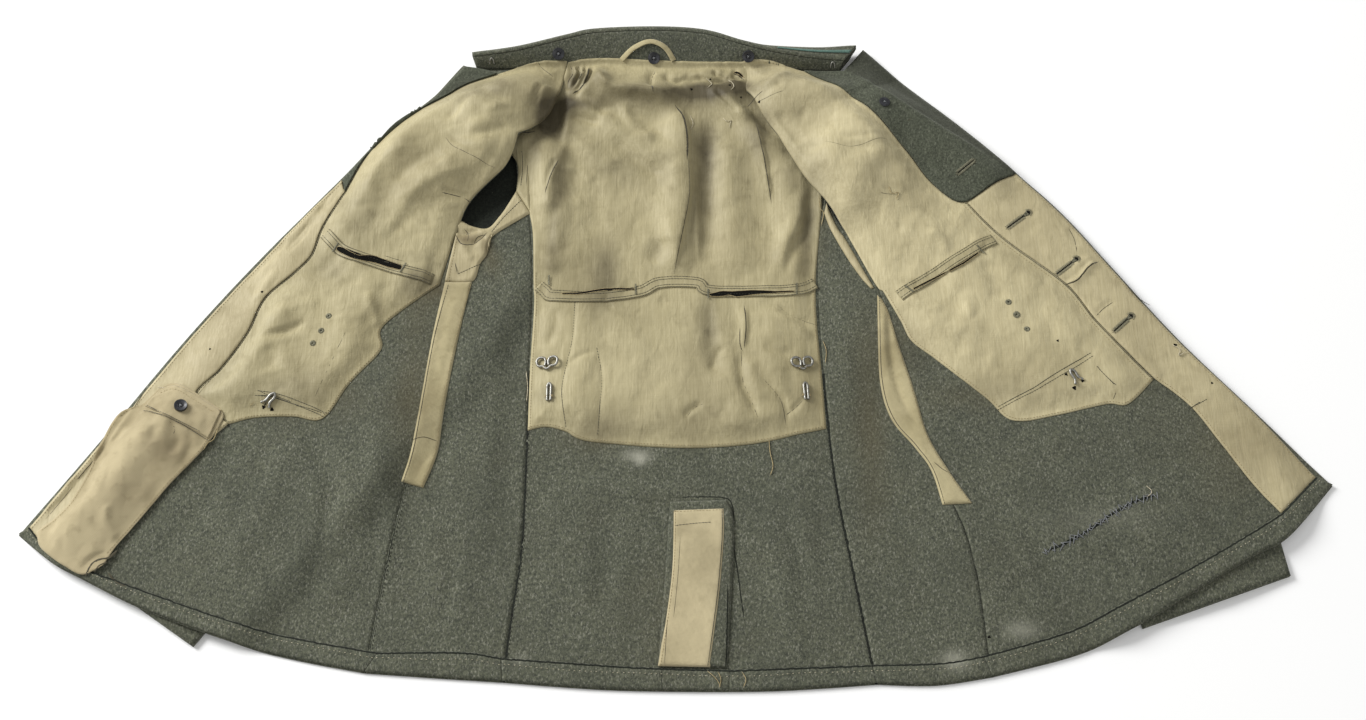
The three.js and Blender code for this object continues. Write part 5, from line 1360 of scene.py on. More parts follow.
def tube(points, radius, sides=6, taper=True):
    # a thread: circles of the radius round a path, drawn in at its ends; radius may be one number a point
    points = np.asarray(points, float)
    tangent = unit(np.gradient(points, axis=0))
    side = np.cross(tangent, [0, 0, 1.0])
    weak = np.linalg.norm(side, axis=1) < 0.05
    side[weak] = np.cross(tangent[weak], [0, 1.0, 0]) if weak.any() else side[weak]
    side = unit(side)
    up = np.cross(side, tangent)
    r = np.broadcast_to(radius, len(points)).astype(float).copy()
    if taper:
        r[0] *= 0.35
        r[-1] *= 0.35
    a = np.linspace(0, 2 * np.pi, sides, endpoint=False)
    ring = side[:, None] * np.cos(a)[None, :, None] + up[:, None] * np.sin(a)[None, :, None]
    verts = (points[:, None] + ring * r[:, None, None]).reshape(-1, 3)
    body = gridFaces(len(points), sides, closed=True)
    n = len(points)
    k = np.arange(1, sides - 1, 2)
    zero = np.zeros_like(k)
    first = np.stack([zero, (k + 2) % sides, k + 1, k], axis=1)
    last = np.stack([zero, k, k + 1, (k + 2) % sides], axis=1) + (n - 1) * sides
    return verts, np.vstack([body[:, ::-1], first[:, ::-1], last[:, ::-1]])


def threads(gather, paths, radius, profile):
    # many short threads at once: paths is threads x points x 3, profile the share of the radius at each point
    count, points = paths.shape[:2]
    tangent = unit(paths[:, -1] - paths[:, 0])
    side = unit(np.column_stack([-tangent[:, 1], tangent[:, 0], np.zeros(count)]))
    a = (np.array([0, 0.5, 1, 1.5]) * np.pi)[None, None, :, None]
    ring = side[:, None, None] * np.cos(a) + np.array([0, 0, 1.0]) * np.sin(a)
    verts = (paths[:, :, None] + ring * (radius * np.asarray(profile))[None, :, None, None]).reshape(-1, 3)
    one = gridFaces(points, 4, closed=True)
    gather.add(verts, (one[None] + (np.arange(count) * points * 4)[:, None, None]).reshape(-1, 4))


def threadsOn(gather, plans, layer, radius, lift, arch):
    # short threads on a cloth: plans is threads x points x 2, arch the rise of each point in mm
    count, points = plans.shape[:2]
    z = surfaces[layerNames[layer]](plans.reshape(-1, 2)).reshape(count, points) + lift + np.asarray(arch)[None]
    profile = np.full(points, 1.0)
    profile[0] = profile[-1] = 0.45
    threads(gather, np.concatenate([plans, z[..., None]], axis=2), radius, profile)


def stitchRow(gather, line, layer, pitch, length, radius, lift=0.12, sink=0.35, jitter=0.12, seed=1):
    # running stitches: each a low arch of thread, five rings of four, between two holes
    line = np.asarray(line, float)
    count = max(2, int(lengthOf(line) / pitch))
    generator = np.random.default_rng(seed)
    at = (np.arange(count) + 0.5 + generator.uniform(-jitter, jitter, count)) / count
    steps = np.concatenate([[0], np.cumsum(np.linalg.norm(np.diff(line, axis=0), axis=1))])
    steps /= steps[-1]
    share = length / pitch / count / 2
    t = at[:, None] + np.linspace(-share, share, 5)[None]
    plan = np.stack([np.interp(t.ravel(), steps, line[:, k]) for k in (0, 1)], axis=1)
    z = surfaces[layerNames[layer]](plan).reshape(count, 5)
    arch = np.array([-sink, lift * 0.6, lift, lift * 0.6, -sink])
    path = np.concatenate([plan.reshape(count, 5, 2), (z + arch[None] + radius * 0.4)[..., None]], axis=2)
    threads(gather, path, radius, (0.5, 1, 1.05, 1, 0.5))


def ribbon(gather, line, layer, width, lift=0.06, ends=True, wander=0.0, seed=1):
    # a dark line of painted shade along a seam or crease: a thin strip on the cloth, tapered at its ends, its two
    # edges wandering a little
    count = max(4, int(lengthOf(line) / 1.2))
    q = spaced(np.asarray(line, float), count)
    share = np.linspace(0, 1, count)
    w = np.full(count, width / 2)
    if ends:
        w = w * np.clip(np.minimum(share, 1 - share) * 9 + 0.08, 0, 1)
    wobble = wander * ripple(q, 7, seed)
    s = np.array([-1, -0.33, 0.33, 1])[:, None]
    plan = q[None] + leftOf(q)[None] * (w[None] * s + wobble[None] * np.abs(s))[..., None]
    z = surfaces[layerNames[layer]](plan.reshape(-1, 2)).reshape(4, count) + lift
    z = z + np.where(np.abs(s) < 1, 0.05, -0.12)
    gather.add(np.concatenate([plan, z[..., None]], axis=2).reshape(-1, 3), gridFaces(4, count))


seamShadeLines, darkStitch, tanStitch, paleStitch, cuts, tacks, fray = (Gather() for _ in range(7))
thread = {"pitch": 3.1, "length": 2.2, "radius": 0.27, "groove": 0.75}


# a dark line of painted seam shade is laid under the stitches unless told not to
def sewn(line, layer, gather=None, groove=True, pitch=None, radius=None, seed=3):
    if groove:
        ribbon(seamShadeLines, line, layer, thread["groove"], seed=seed)
    stitchRow(gather or darkStitch, line, layer, pitch or thread["pitch"], thread["length"] * (pitch or 3.1) / 3.1,
        radius or thread["radius"], seed=seed)


# the casings' double lines, along both edges
for layer, name in (("casingBack", "strap_casing_back"), ("casingRight", "strap_casing_right"),
        ("casingLeft", "strap_casing_left")):
    middle = casings[name][0]
    for k, by in enumerate((-5.9, -3.2, 3.2, 5.9)):
        sewn(offsetLine(middle, by), layer, seed=10 + k)

# seams with one line of stitches just inside a piece's edge: the edge, the side, the cloth
seams = (
    (liningRightFacing, -1.6, "right", "dark"), (liningRightTop, -1.6, "right", "none"),
    (liningRightLower, 2.2, "right", "tan"),
    (chain(back(liningLeftTop), liningLeftNeck[:2])[:-1], -1.8, "left", "none"),
    (liningLeftFacing, -1.8, "left", "dark"), (liningLeftFacing, -5.4, "left", "tan"),
    (liningLeftLower, -2.4, "left", "tan"),
    (facingRightEdge, -2.6, "facingRight", "tan"), (facingLeftEdge, 2.6, "facingLeft", "tan"),
    (facingRightUnder, 2.0, "facingRight", "tan"), (facingLeftUnder, 2.4, "facingLeft", "tan"),
    (backLiningLower, 2.8, "back", "tan"), (backLiningRight[:60], -2.2, "back", "tan"),
    (backLiningLeft[:60], 2.2, "back", "tan"),
    (run((-277, -156), (-269, -125), (-263, -80), (-255, -3), (-243, 62)), -2.4, "strapRight", "dark"),
    (run((-255, -162), (-243, -125), (-238, -80), (-228, -3), (-215, 62)), 2.2, "strapRight", "tan"),
    (run((261, -182), (252, -145), (236, -118), (214, -85), (205, -38), (206, 50)), -2.2, "strapLeft", "dark"),
    (run((291, -179), (272, -148), (252, -108), (240, -60), (226, -8), (217, 30), (210, 46)), 2.2, "strapLeft",
        "tan"),
    (run((-20, -345), (-12, -290), (-7, -243), (-6, -186)), -2.4, "ventPatch", "tan"),
    (run((30, -346), (36, -303), (41, -263), (45, -213), (45, -184)), 2.4, "ventPatch", "dark"),
    (run((-6, -186), (45, -184)), -2.4, "ventPatch", "tan"),
    (run((-243, 65), (-236, 120)), -2.0, "underarmRight", "tan"),
    (run((-540, -77), (-520, -89), (-481, -108)), 1.6, "band", "dark"),
    (run((-528, -61), (-511, -57), (-470, -82)), -2.0, "band", "tan"),
    (run((-629, -208), (-601, -176), (-572, -89), (-545, -72)), -2.4, "pocket", "tan"),
    (run((-556, -236), (-541, -214), (-503, -159), (-476, -124), (-462, -92)), 2.4, "pocket", "tan"),
)
# seams of kind none get only the dark line of painted seam shade
for k, (edge, by, layer, kind) in enumerate(seams):
    line = offsetLine(spaced(edge, max(6, int(lengthOf(edge) / 3))), by)
    if kind == "none":
        ribbon(seamShadeLines, line, layer, 0.7, seed=k)
    else:
        sewn(line, layer, darkStitch if kind == "dark" else tanStitch, groove=(kind == "dark"), seed=40 + k)

woolShadeLines = Gather()
# the hem: a dark line of painted shade at its upper edge and pale stitches along its middle
for k, name in enumerate(("hem_right", "hem_side_right", "hem_back_right", "hem_back_left", "hem_side_left",
        "hem_left")):
    inner, outer, _ = hems[name]
    layer = "hem" + "".join(w.capitalize() for w in name.split("_")[1:])
    low = spaced(outer, 90) + hemSet
    high = spaced(inner, 90)
    share = 0.68 + 0.03 * np.sin(np.linspace(0, 9, 90) + k)
    middle = low + (high - low) * share[:, None]
    stitchRow(paleStitch, middle, layer, 5.2, 1.7, 0.3, seed=70 + k)
    ribbon(woolShadeLines, low + (high - low) * 0.93, layer, 2.0, ends=False, wander=0.8, seed=80 + k)

# seams of the wool body: an open pressed seam, drawn as a dark line of painted groove shade with a line of overcast
# stitches beside it
for k, (line, layer, by, width) in enumerate(((sideSeamRight[:110], "woolBack", -0.9, 2.8),
        (sideSeamLeft[:110], "woolBack", 0.9, 3.3), (frontSeamRight[:75], "woolRight", -0.9, 0.9),
        (frontSeamLeft[:70], "woolLeft", 0.9, 0.5))):
    beside = offsetLine(line, by)
    ribbon(woolShadeLines, beside, layer, width, ends=False, wander=0.9, seed=90 + k)
    stitchRow(darkStitch, offsetLine(line, by * 2.4), layer, 4.4, 2.6, 0.4, seed=95 + k)

# the vent: dark lines of painted shade over its facing's top, down its right side and across the hem
for k, (line, layer, width) in enumerate((
        (((380, 60), (580, 52), (790, 60), (838, 120), (850, 230)), "woolBack", 1.7),
        (((840, 350), (890, 700), (930, 1000)), "woolBack", 1.5),
        (((800, 700), (800, 1000), (790, 1340)), "ventFacing", 1.3),
        (((312, 1345), (312, 1400), (314, 1470)), "hemBackRight", 0.9))):
    ribbon(woolShadeLines, run(*onCloth("vent", line, layer)), layer, width, wander=0.5, seed=200 + k)

# lines read on the enlargements, each a dark line of painted shade along a crease or seam: cloth, width of the dark
# line, stitched or not, then the pixels x, y
drawn = {
    "right": (
        ("right", 0.7, False, 475, 1165, 430, 1260, 350, 1430),
        ("right", 0.6, False, 890, 360, 930, 402, 1040, 462, 1092, 490),
        ("right", 1.1, False, 875, 590, 960, 610, 995, 632),
        ("right", 0.7, True, 110, 1405, 200, 1420, 310, 1460, 400, 1500),
        ("right", 0.7, True, 100, 1425, 190, 1436, 300, 1476, 390, 1514),
        ("right", 0.6, False, 1270, 50, 1300, 85, 1335, 112), ("right", 0.6, False, 640, 850, 680, 862, 720, 872),
        ("right", 0.6, False, 910, 790, 925, 860, 938, 925),
        ("armholeRight", 0.6, True, 1198, 356, 1208, 470, 1200, 560),
        ("armholeRight", 0.6, False, 1224, 356, 1228, 470, 1222, 560),
        ("underarmRight", 0.6, True, 1204, 620, 1130, 690, 1078, 752),
        ("underarmRight", 0.6, True, 938, 925, 990, 902, 1036, 882),
        ("underarmRight", 1.3, False, 930, 760, 956, 800, 1000, 802, 1040, 776, 1062, 752),
        ("underarmRight", 0.9, False, 1006, 800, 1022, 772, 1050, 762),
        ("underarmRight", 0.7, False, 968, 740, 984, 762, 980, 790),
    ),
    "back": (
        ("back", 1.3, False, 196, 60, 208, 92, 190, 122, 188, 150),
        ("back", 1.1, False, 228, 62, 240, 98, 218, 134, 196, 160),
        ("back", 2.0, False, 270, 72, 262, 108, 240, 146, 206, 172),
        ("back", 2.0, False, 836, 92, 860, 100, 878, 116),
        ("back", 2.2, False, 606, 214, 640, 262, 655, 340, 655, 428),
        ("back", 1.1, False, 925, 290, 945, 370, 960, 440, 985, 600),
        ("back", 1.2, False, 150, 430, 120, 490, 98, 560),
        ("back", 0.7, True, 215, 985, 205, 1130, 180, 1240, 163, 1340, 180, 1480),
        ("back", 0.7, True, 300, 1165, 320, 1280, 312, 1400, 304, 1510),
        ("back", 1.3, False, 862, 1090, 862, 1150, 872, 1180),
        ("back", 1.0, False, 878, 1000, 886, 1080, 878, 1168),
        ("back", 0.8, False, 950, 1285, 1020, 1370, 1042, 1470),
        ("back", 0.8, False, 1110, 1370, 1080, 1402, 1040, 1432),
        ("back", 1.6, False, 530, 82, 515, 122, 522, 172),
        ("back", 0.9, False, 868, 1180, 872, 1290, 905, 1370, 932, 1440),
        ("back", 0.5, False, 660, 430, 664, 560, 640, 700, 604, 876),
        ("back", 0.9, False, 650, 1440, 684, 1402, 716, 1388),
        ("back", 0.5, False, 1010, 1000, 1060, 1040, 1165, 1080), ("back", 1.6, False, 0, 320, 30, 324, 60, 318),
    ),
    "left": (
        ("left", 1.1, True, 880, 1250, 1000, 1186, 1100, 1122, 1196, 1066),
        ("left", 0.6, True, 876, 1262, 1000, 1198, 1110, 1134, 1204, 1076),
        ("left", 0.6, True, 1215, 1110, 1240, 1138, 1276, 1174), ("left", 0.8, False, 1282, 1200, 1272, 1226),
        ("left", 0.7, False, 480, 520, 500, 524, 522, 526), ("left", 1.0, False, 25, 228, 58, 190, 78, 172),
        ("left", 0.6, False, 60, 212, 100, 192, 148, 172), ("left", 0.4, False, 290, 345, 380, 362, 500, 338),
        ("facingLeft", 1.7, False, 1110, 832, 1150, 818, 1190, 772, 1222, 756),
        ("facingLeft", 0.8, False, 1120, 640, 1140, 680, 1148, 722),
        ("facingLeft", 1.0, False, 1215, 940, 1240, 915, 1272, 893),
        ("facingLeft", 0.7, False, 1330, 850, 1362, 882, 1400, 905),
        ("facingLeft", 0.7, True, 1532, 1258, 1552, 1244, 1568, 1234),
        ("woolFacingLeft", 1.2, False, 570, 277, 584, 266),
        ("woolFacingLeft", 1.6, False, 738, 458, 765, 434, 802, 406),
    ),
    "low": (
        ("band", 0.6, True, 590, 128, 620, 130, 730, 172, 800, 212, 860, 250),
        ("pocket", 0.9, False, 700, 172, 722, 200, 716, 222),
        ("pocket", 2.4, False, 350, 812, 376, 762, 410, 740, 450, 732, 486, 700),
        ("pocket", 1.6, False, 388, 792, 410, 764, 444, 752),
        ("facingRight", 0.6, False, 600, 40, 540, 130, 450, 262),
        ("facingRight", 0.6, False, 460, 250, 350, 372, 280, 452),
        ("facingRight", 0.7, False, 330, 400, 250, 502, 190, 572), ("right", 2.0, False, 1100, 90, 1090, 108),
        ("right", 0.7, True, 1060, 64, 1130, 66, 1200, 90), ("right", 0.6, True, 1065, 42, 1140, 76, 1340, 138),
        ("right", 0.5, False, 810, 70, 850, 20, 870, 0), ("hemRight", 1.6, False, 445, 795, 475, 830, 520, 852),
    ),
    "vent": (
        ("ventPatch", 0.5, True, 415, 265, 540, 250, 680, 240),
        ("ventPatch", 0.5, False, 450, 340, 432, 640, 400, 950),
        ("ventPatch", 0.6, False, 352, 960, 343, 1120, 332, 1296),
    ),
    "whole": (
        ("left", 0.5, True, 1097, 366, 1106, 376, 1116, 385),
        ("facingLeft", 0.8, True, 1190, 408, 1200, 403, 1207, 399),
        ("strapRight", 0.9, False, 412, 440, 424, 437, 437, 441),
        ("strapLeft", 0.9, False, 934, 462, 944, 470, 952, 474),
    ),
}
for area, lines in drawn.items():
    for k, (layer, width, stitched, *line) in enumerate(lines):
        q = run(*onCloth(area, np.reshape(line, (-1, 2)), layer))
        ribbon(seamShadeLines, q, layer, width, wander=0.12, seed=100 + k)
        if stitched:
            stitchRow(darkStitch, q, layer, 3.0, 2.0, 0.3, seed=130 + k)


def patchOf(outline, layer, lift):
    # a closed spot on a cloth: rings from its middle out to its outline
    q = np.asarray(outline, float)
    middle = q.mean(0)
    shares = np.linspace(0.02, 1, 6)
    rings = middle + (q[None] - middle) * shares[:, None, None]
    z = surfaces[layerNames[layer]](rings.reshape(-1, 2)).reshape(rings.shape[:2])
    grid = np.concatenate([rings, (z + lift)[..., None]], axis=2)
    faces = gridFaces(len(shares), len(q), closed=True)
    return grid.reshape(-1, 3), faces[:, ::-1] if polygonArea(q) > 0 else faces


def polygonArea(q):
    x, y = q[:, 0], q[:, 1]
    return 0.5 * float(np.sum(x * np.roll(y, -1) - y * np.roll(x, -1)))


# black slits and gashes, their insides painted shade, with a rolled lip of the cloth along each side
slits = (
    ("right", ((438, 816), (452, 810), (470, 816), (496, 832), (530, 848), (575, 846), (602, 850), (650, 868),
        (712, 890), (706, 908), (650, 896), (604, 880), (575, 874), (540, 868), (512, 862), (486, 852), (458, 838),
        (442, 828)), "casingRight"),
    ("back", ((160, 952), (230, 950), (330, 934), (390, 932), (450, 934), (450, 941), (390, 940), (330, 943),
        (230, 958), (170, 958)), "casingBack"),
    ("back", ((740, 956), (790, 944), (830, 946), (900, 941), (1000, 945), (1076, 943), (1076, 949), (1000, 953),
        (900, 961), (850, 968), (820, 960), (790, 966), (748, 966)), "casingBack"),
    ("left", ((590, 846), (640, 820), (700, 790), (702, 795), (644, 826), (592, 852)), "casingLeft"),
    ("left", ((712, 784), (760, 758), (812, 722), (814, 728), (764, 764), (714, 790)), "casingLeft"),
    ("back", ((836, 86), (850, 84), (872, 98), (880, 108), (866, 104), (846, 94)), "back"),
)
for k, (area, outline, layer) in enumerate(slits):
    q = onCloth(area, outline, layer)
    q = spaced(np.vstack([q, q[:1]]), 60)[:-1]
    cuts.add(*patchOf(q, layer, 0.3))
    around = np.vstack([q, q[:1]])
    lip = drape(around, layer, 0.12)
    lip[:, 2] += 0.1 * ripple(around, 9, 150 + k)
    tanVerts, tanFaces = tube(lip, 0.32, 6, taper=False)
    fray.add(tanVerts, tanFaces)

# bar tacks: a tight row of satin stitches across each slit's end
barTacks = (
    ("right", (446, 798), (424, 832), "casingRight"), ("right", (726, 880), (704, 914), "casingRight"),
    ("back", (113, 884), (113, 920), "casingBack"), ("back", (453, 918), (454, 956), "casingBack"),
    ("back", (737, 938), (738, 972), "casingBack"), ("back", (1084, 914), (1085, 958), "casingBack"),
    ("left", (564, 838), (590, 858), "casingLeft"), ("left", (808, 700), (832, 726), "casingLeft"),
)
for area, first, last, layer in barTacks:
    ends = onCloth(area, (first, last), layer)
    along = np.linspace(ends[0], ends[1], 14)
    direction = (ends[1] - ends[0]) / np.linalg.norm(ends[1] - ends[0])
    across = np.array([-direction[1], direction[0]])
    plans = along[:, None] + across[None, None] * np.array([-1.1, -0.5, 0.5, 1.1])[None, :, None]
    threadsOn(tacks, plans, layer, 0.36, 0.25, (0, 0.4, 0.4, 0))


def eyelet(area, pixel, layer, radius, hole):
    # a stitched eyelet: thread spokes round a dark hole, each a short arch
    centre = onCloth(area, (pixel,), layer)[0]
    a = np.linspace(0, 2 * np.pi, 26, endpoint=False)
    ring = np.column_stack([np.cos(a), np.sin(a)])
    cuts.add(*patchOf(centre + ring * hole, layer, 0.12))
    plans = centre + ring[:, None] * np.linspace(hole * 0.8, radius, 4)[None, :, None]
    threadsOn(tacks, plans, layer, 0.3, 0.15, (0, 0.35, 0.35, 0))


eyelets = (
    ("right", (407, 1098), "right", 3.3, 0.9), ("right", (376, 1158), "right", 3.3, 1.0),
    ("right", (342, 1210), "right", 3.3, 0.7),
    ("left", (915, 893), "left", 3.5, 1.0), ("left", (943, 936), "left", 4.0, 0.9),
    ("left", (978, 985), "left", 3.2, 0.7),
)
for place in eyelets:
    eyelet(*place)
holes = (
    ("right", (132, 998), "facingRight", 1.3), ("left", (1083, 1025), "left", 1.2),
    ("back", (672, 154), "back", 1.3), ("back", (866, 186), "back", 1.0),
    ("back", (746, 118), "back", 1.4), ("back", (822, 138), "back", 1.3), ("left", (65, 212), "left", 1.3),
    ("left", (1484, 1040), "facingLeft", 1.8),
    ("low", (1088, 112), "right", 1.8), ("low", (1122, 122), "right", 1.8), ("left", (1140, 1186), "left", 2.0),
    ("left", (1168, 1162), "left", 1.6), ("left", (1112, 1140), "left", 1.5),
    ("whole", (989, 637), "woolLeft", 1.4), ("whole", (1212, 383), "facingLeft", 1.2),
    ("whole", (210, 349), "facingRight", 1.1),
)
for area, pixel, layer, radius in holes:
    centre = onCloth(area, (pixel,), layer)[0]
    a = np.linspace(0, 2 * np.pi, 14, endpoint=False)
    uneven = radius * (1 + 0.25 * np.sin(3 * a + centre[0]))
    cuts.add(*patchOf(centre + np.column_stack([np.cos(a), np.sin(a)]) * uneven[:, None], layer, 0.14))


def buttonhole(area, start, eye, layer, keyhole=True):
    # a slit, with a round eye if it is a keyhole, and stitches side by side all round it
    ends = onCloth(area, (start, eye), layer)
    direction = (ends[1] - ends[0]) / np.linalg.norm(ends[1] - ends[0])
    across = np.array([-direction[1], direction[0]])
    length = np.linalg.norm(ends[1] - ends[0])
    u = np.linspace(0, 1, 22)
    half = 0.85 + (1.9 * np.exp(-((u - 0.93) / 0.09) ** 2) if keyhole else 0 * u)
    up = ends[0] + direction * (u * length)[:, None] + across * half[:, None]
    down = ends[0] + direction * (u * length)[:, None] - across * half[:, None]
    outline = np.vstack([up, ends[1] + direction * 1.2, down[::-1], ends[0] - direction * 0.4])
    cuts.add(*patchOf(outline, layer, 0.12))
    closed = spaced(np.vstack([outline, outline[:1]]), 74)[:-1]
    out = closed - outline.mean(0)
    tangent = np.roll(closed, -1, axis=0) - np.roll(closed, 1, axis=0)
    normal = unit(np.column_stack([tangent[:, 1], -tangent[:, 0]]))
    normal *= np.sign((normal * out).sum(1))[:, None]
    plans = closed[:, None] + normal[:, None] * np.array([-0.4, 0.6, 1.6, 2.5])[None, :, None]
    threadsOn(tacks, plans, layer, 0.3, 0.12, (0, 0.42, 0.42, 0))


buttonhole("left", (912, 640), (986, 586), "facingLeft")
buttonhole("left", (1080, 798), (1150, 744), "facingLeft")
buttonhole("left", (1276, 992), (1336, 938), "facingLeft")
buttonhole("left", (742, 455), (796, 411), "woolFacingLeft", False)

# the darn low on the left front: two wandering lines and short threads across them
darnLine = run(*onCloth("whole", ((1043, 552), (1066, 543), (1092, 528), (1112, 514), (1134, 502), (1156, 495)),
    "woolLeft"))
generator = np.random.default_rng(17)
knots = spaced(darnLine, 52) + generator.uniform(-2, 2, (52, 2))
turns = generator.uniform(0.4, 1.5, 52) * np.where(np.arange(52) % 2, 1, -1) + 0.5
reaches = generator.uniform(2.0, 6.0, 52)
darnWays = np.stack([np.cos(turns), np.sin(turns)], axis=1)[:, None]
plans = knots[:, None] + darnWays * (reaches[:, None] * np.linspace(-1, 1, 5))[..., None]
darned = Gather()
threadsOn(darned, plans, "woolLeft", 0.44, 0.3, (0, 0.3, 0.4, 0.3, 0))
darned.build("darn_threads", materials["greyThread"], "cotton")
# the dark line under the darn, in the near-black wool used for the painted seam shade
ribbon(woolShadeLines, darnLine, "woolLeft", 3.4, wander=1.0, seed=18)

# loose thread ends: area, cloth, radius, thread, then the pixels x, y
looseEnds = (
    ("whole", "woolBack", 0.4, "tan", 769, 438, 770, 452, 773, 466, 770, 476),
    ("whole", "hemBackLeft", 0.35, "tan", 718, 672, 721, 680, 719, 688),
    ("whole", "hemBackLeft", 0.35, "tan", 742, 672, 746, 680, 743, 688),
    ("whole", "left", 0.35, "tan", 889, 186, 892, 194, 899, 192, 896, 200),
    ("whole", "back", 0.35, "pale", 690, 116, 693, 124, 690, 130),
    ("whole", "back", 0.35, "pale", 723, 118, 727, 122, 731, 120, 729, 128),
    ("whole", "back", 0.4, "pale", 706, 78, 712, 84, 708, 88),
    ("whole", "back", 0.4, "pale", 728, 80, 734, 86, 731, 90),
    ("low", "pocket", 0.45, "tan", 860, 140, 872, 128, 890, 132, 905, 124, 920, 128),
    ("low", "pocket", 0.5, "tan", 840, 290, 858, 262, 882, 246, 900, 200),
    ("low", "facingRight", 0.45, "pale", 650, 30, 690, 34, 720, 24, 744, 38),
    ("low", "right", 0.35, "tan", 1030, 110, 1044, 96, 1050, 92),
    ("whole", "facingLeft", 0.45, "pale", 1172, 345, 1180, 350, 1178, 356, 1186, 352),
    ("whole", "woolLeft", 0.4, "pale", 1146, 486, 1152, 492, 1147, 497),
    ("back", "sideLeft", 0.4, "tan", 1170, 560, 1176, 620, 1190, 640, 1180, 690),
    ("back", "sideLeft", 0.4, "tan", 1186, 1140, 1200, 1180, 1196, 1230),
    ("back", "sideRight", 0.4, "pale", 24, 1260, 30, 1320, 26, 1380),
    ("vent", "hemBackRight", 0.35, "tan", 650, 1350, 700, 1392, 728, 1424, 750, 1470),
    ("vent", "ventFacing", 0.35, "pale", 744, 160, 770, 196, 762, 236),
)
for area, layer, radius, kind, *line in looseEnds:
    q = run(*onCloth(area, np.reshape(line, (-1, 2)), layer))
    laidThread = drape(q, layer, radius + 0.1)
    laidThread[:, 2] += 0.5 * np.abs(np.sin(np.linspace(0, 5, len(q))))
    (tanStitch if kind == "tan" else paleStitch).add(*tube(laidThread, radius, 6))

seamShadeLines.build("seam_and_crease_shade_lines", materials["seam"], "cotton")
woolShadeLines.build("wool_seam_shade_lines", materials["woolShadow"], "wool")
darkStitch.build("dark_stitches", materials["darkThread"], "cotton")
tanStitch.build("tan_stitches", materials["tanThread"], "cotton")
paleStitch.build("pale_stitches", materials["paleThread"], "cotton")
# painted shade: black patches inside slits, holes, buttonholes and eyelets
cuts.build("slits_and_holes", materials["shadow"], "wool")
tacks.build("tacks_and_eyelets", materials["oliveThread"], "cotton")
fray.build("slit_lips", materials["tanThread"], "lining")
print("sewing done")

# the sleeve's dark inside, seen through the open armhole: a shallow hollow under the front's edge, in a near-black
# copy of the wool that paints the shade inside the sleeve
hollowEdge = np.array([fromPhoto((x, y), 3) for x, y in ((514, 148), (519, 172), (518, 190), (510, 208), (500, 220),
    (489, 231), (478, 230), (458, 222), (456, 206), (470, 190), (488, 172), (502, 160))])
hollowRing = spaced(np.vstack([hollowEdge, hollowEdge[:1]]), 80)[:-1]
hollowMiddle = hollowRing.mean(0)
hollowShare = np.linspace(0.02, 1, 14)
hollowPlan = hollowMiddle + (hollowRing[None] - hollowMiddle) * hollowShare[:, None, None]
hollowWaves = ripple(hollowPlan.reshape(-1, 2), 16, 55).reshape(hollowPlan.shape[:2])
hollowZ = 2.5 + 1.6 * hollowShare[:, None] ** 3 + 0.35 * hollowWaves
hollowFaces = gridFaces(len(hollowShare), len(hollowRing), closed=True)
hollow = meshFrom("sleeve_inside_shade", toWorld(np.concatenate([hollowPlan, hollowZ[..., None]], axis=2).reshape(-1, 3)),
    hollowFaces, materials["woolShadow"])
if hollow.data.polygons[len(hollow.data.polygons) // 2].normal.z < 0:
    hollow.data.flip_normals()
bind(hollow)

# buttons, hooks, loop and tape
buttons = {
    "large": {"radius": 7.4, "edge": 2.6, "dish": 1.7, "rim": 1.7, "hole": 0.85, "apart": 1.75},
    "small": {"radius": 6.0, "edge": 2.2, "dish": 1.5, "rim": 1.4, "hole": 0.7, "apart": 1.45},
}


def frameAt(centre, normal, spin=0.0):
    normal = np.array(normal, float) / np.linalg.norm(normal)
    x = np.cross([0, 1.0, 0], normal)
    x /= np.linalg.norm(x)
    y = np.cross(normal, x)
    c, s = math.cos(spin), math.sin(spin)
    return np.array(centre, float), np.array([c * x + s * y, -s * x + c * y, normal])


def placed(local, place):
    centre, axes = place
    return centre + local @ axes


def clothPlace(layer, x, y, above, spin=0.0):
    q = np.array([(x, y), (x + 5, y), (x - 5, y), (x, y + 5), (x, y - 5)], float)
    z = surfaces[layerNames[layer]](q)
    normal = np.cross([10, 0, z[1] - z[2]], [0, 10, z[3] - z[4]])
    return frameAt((x, y, z[0] + above), normal, spin)


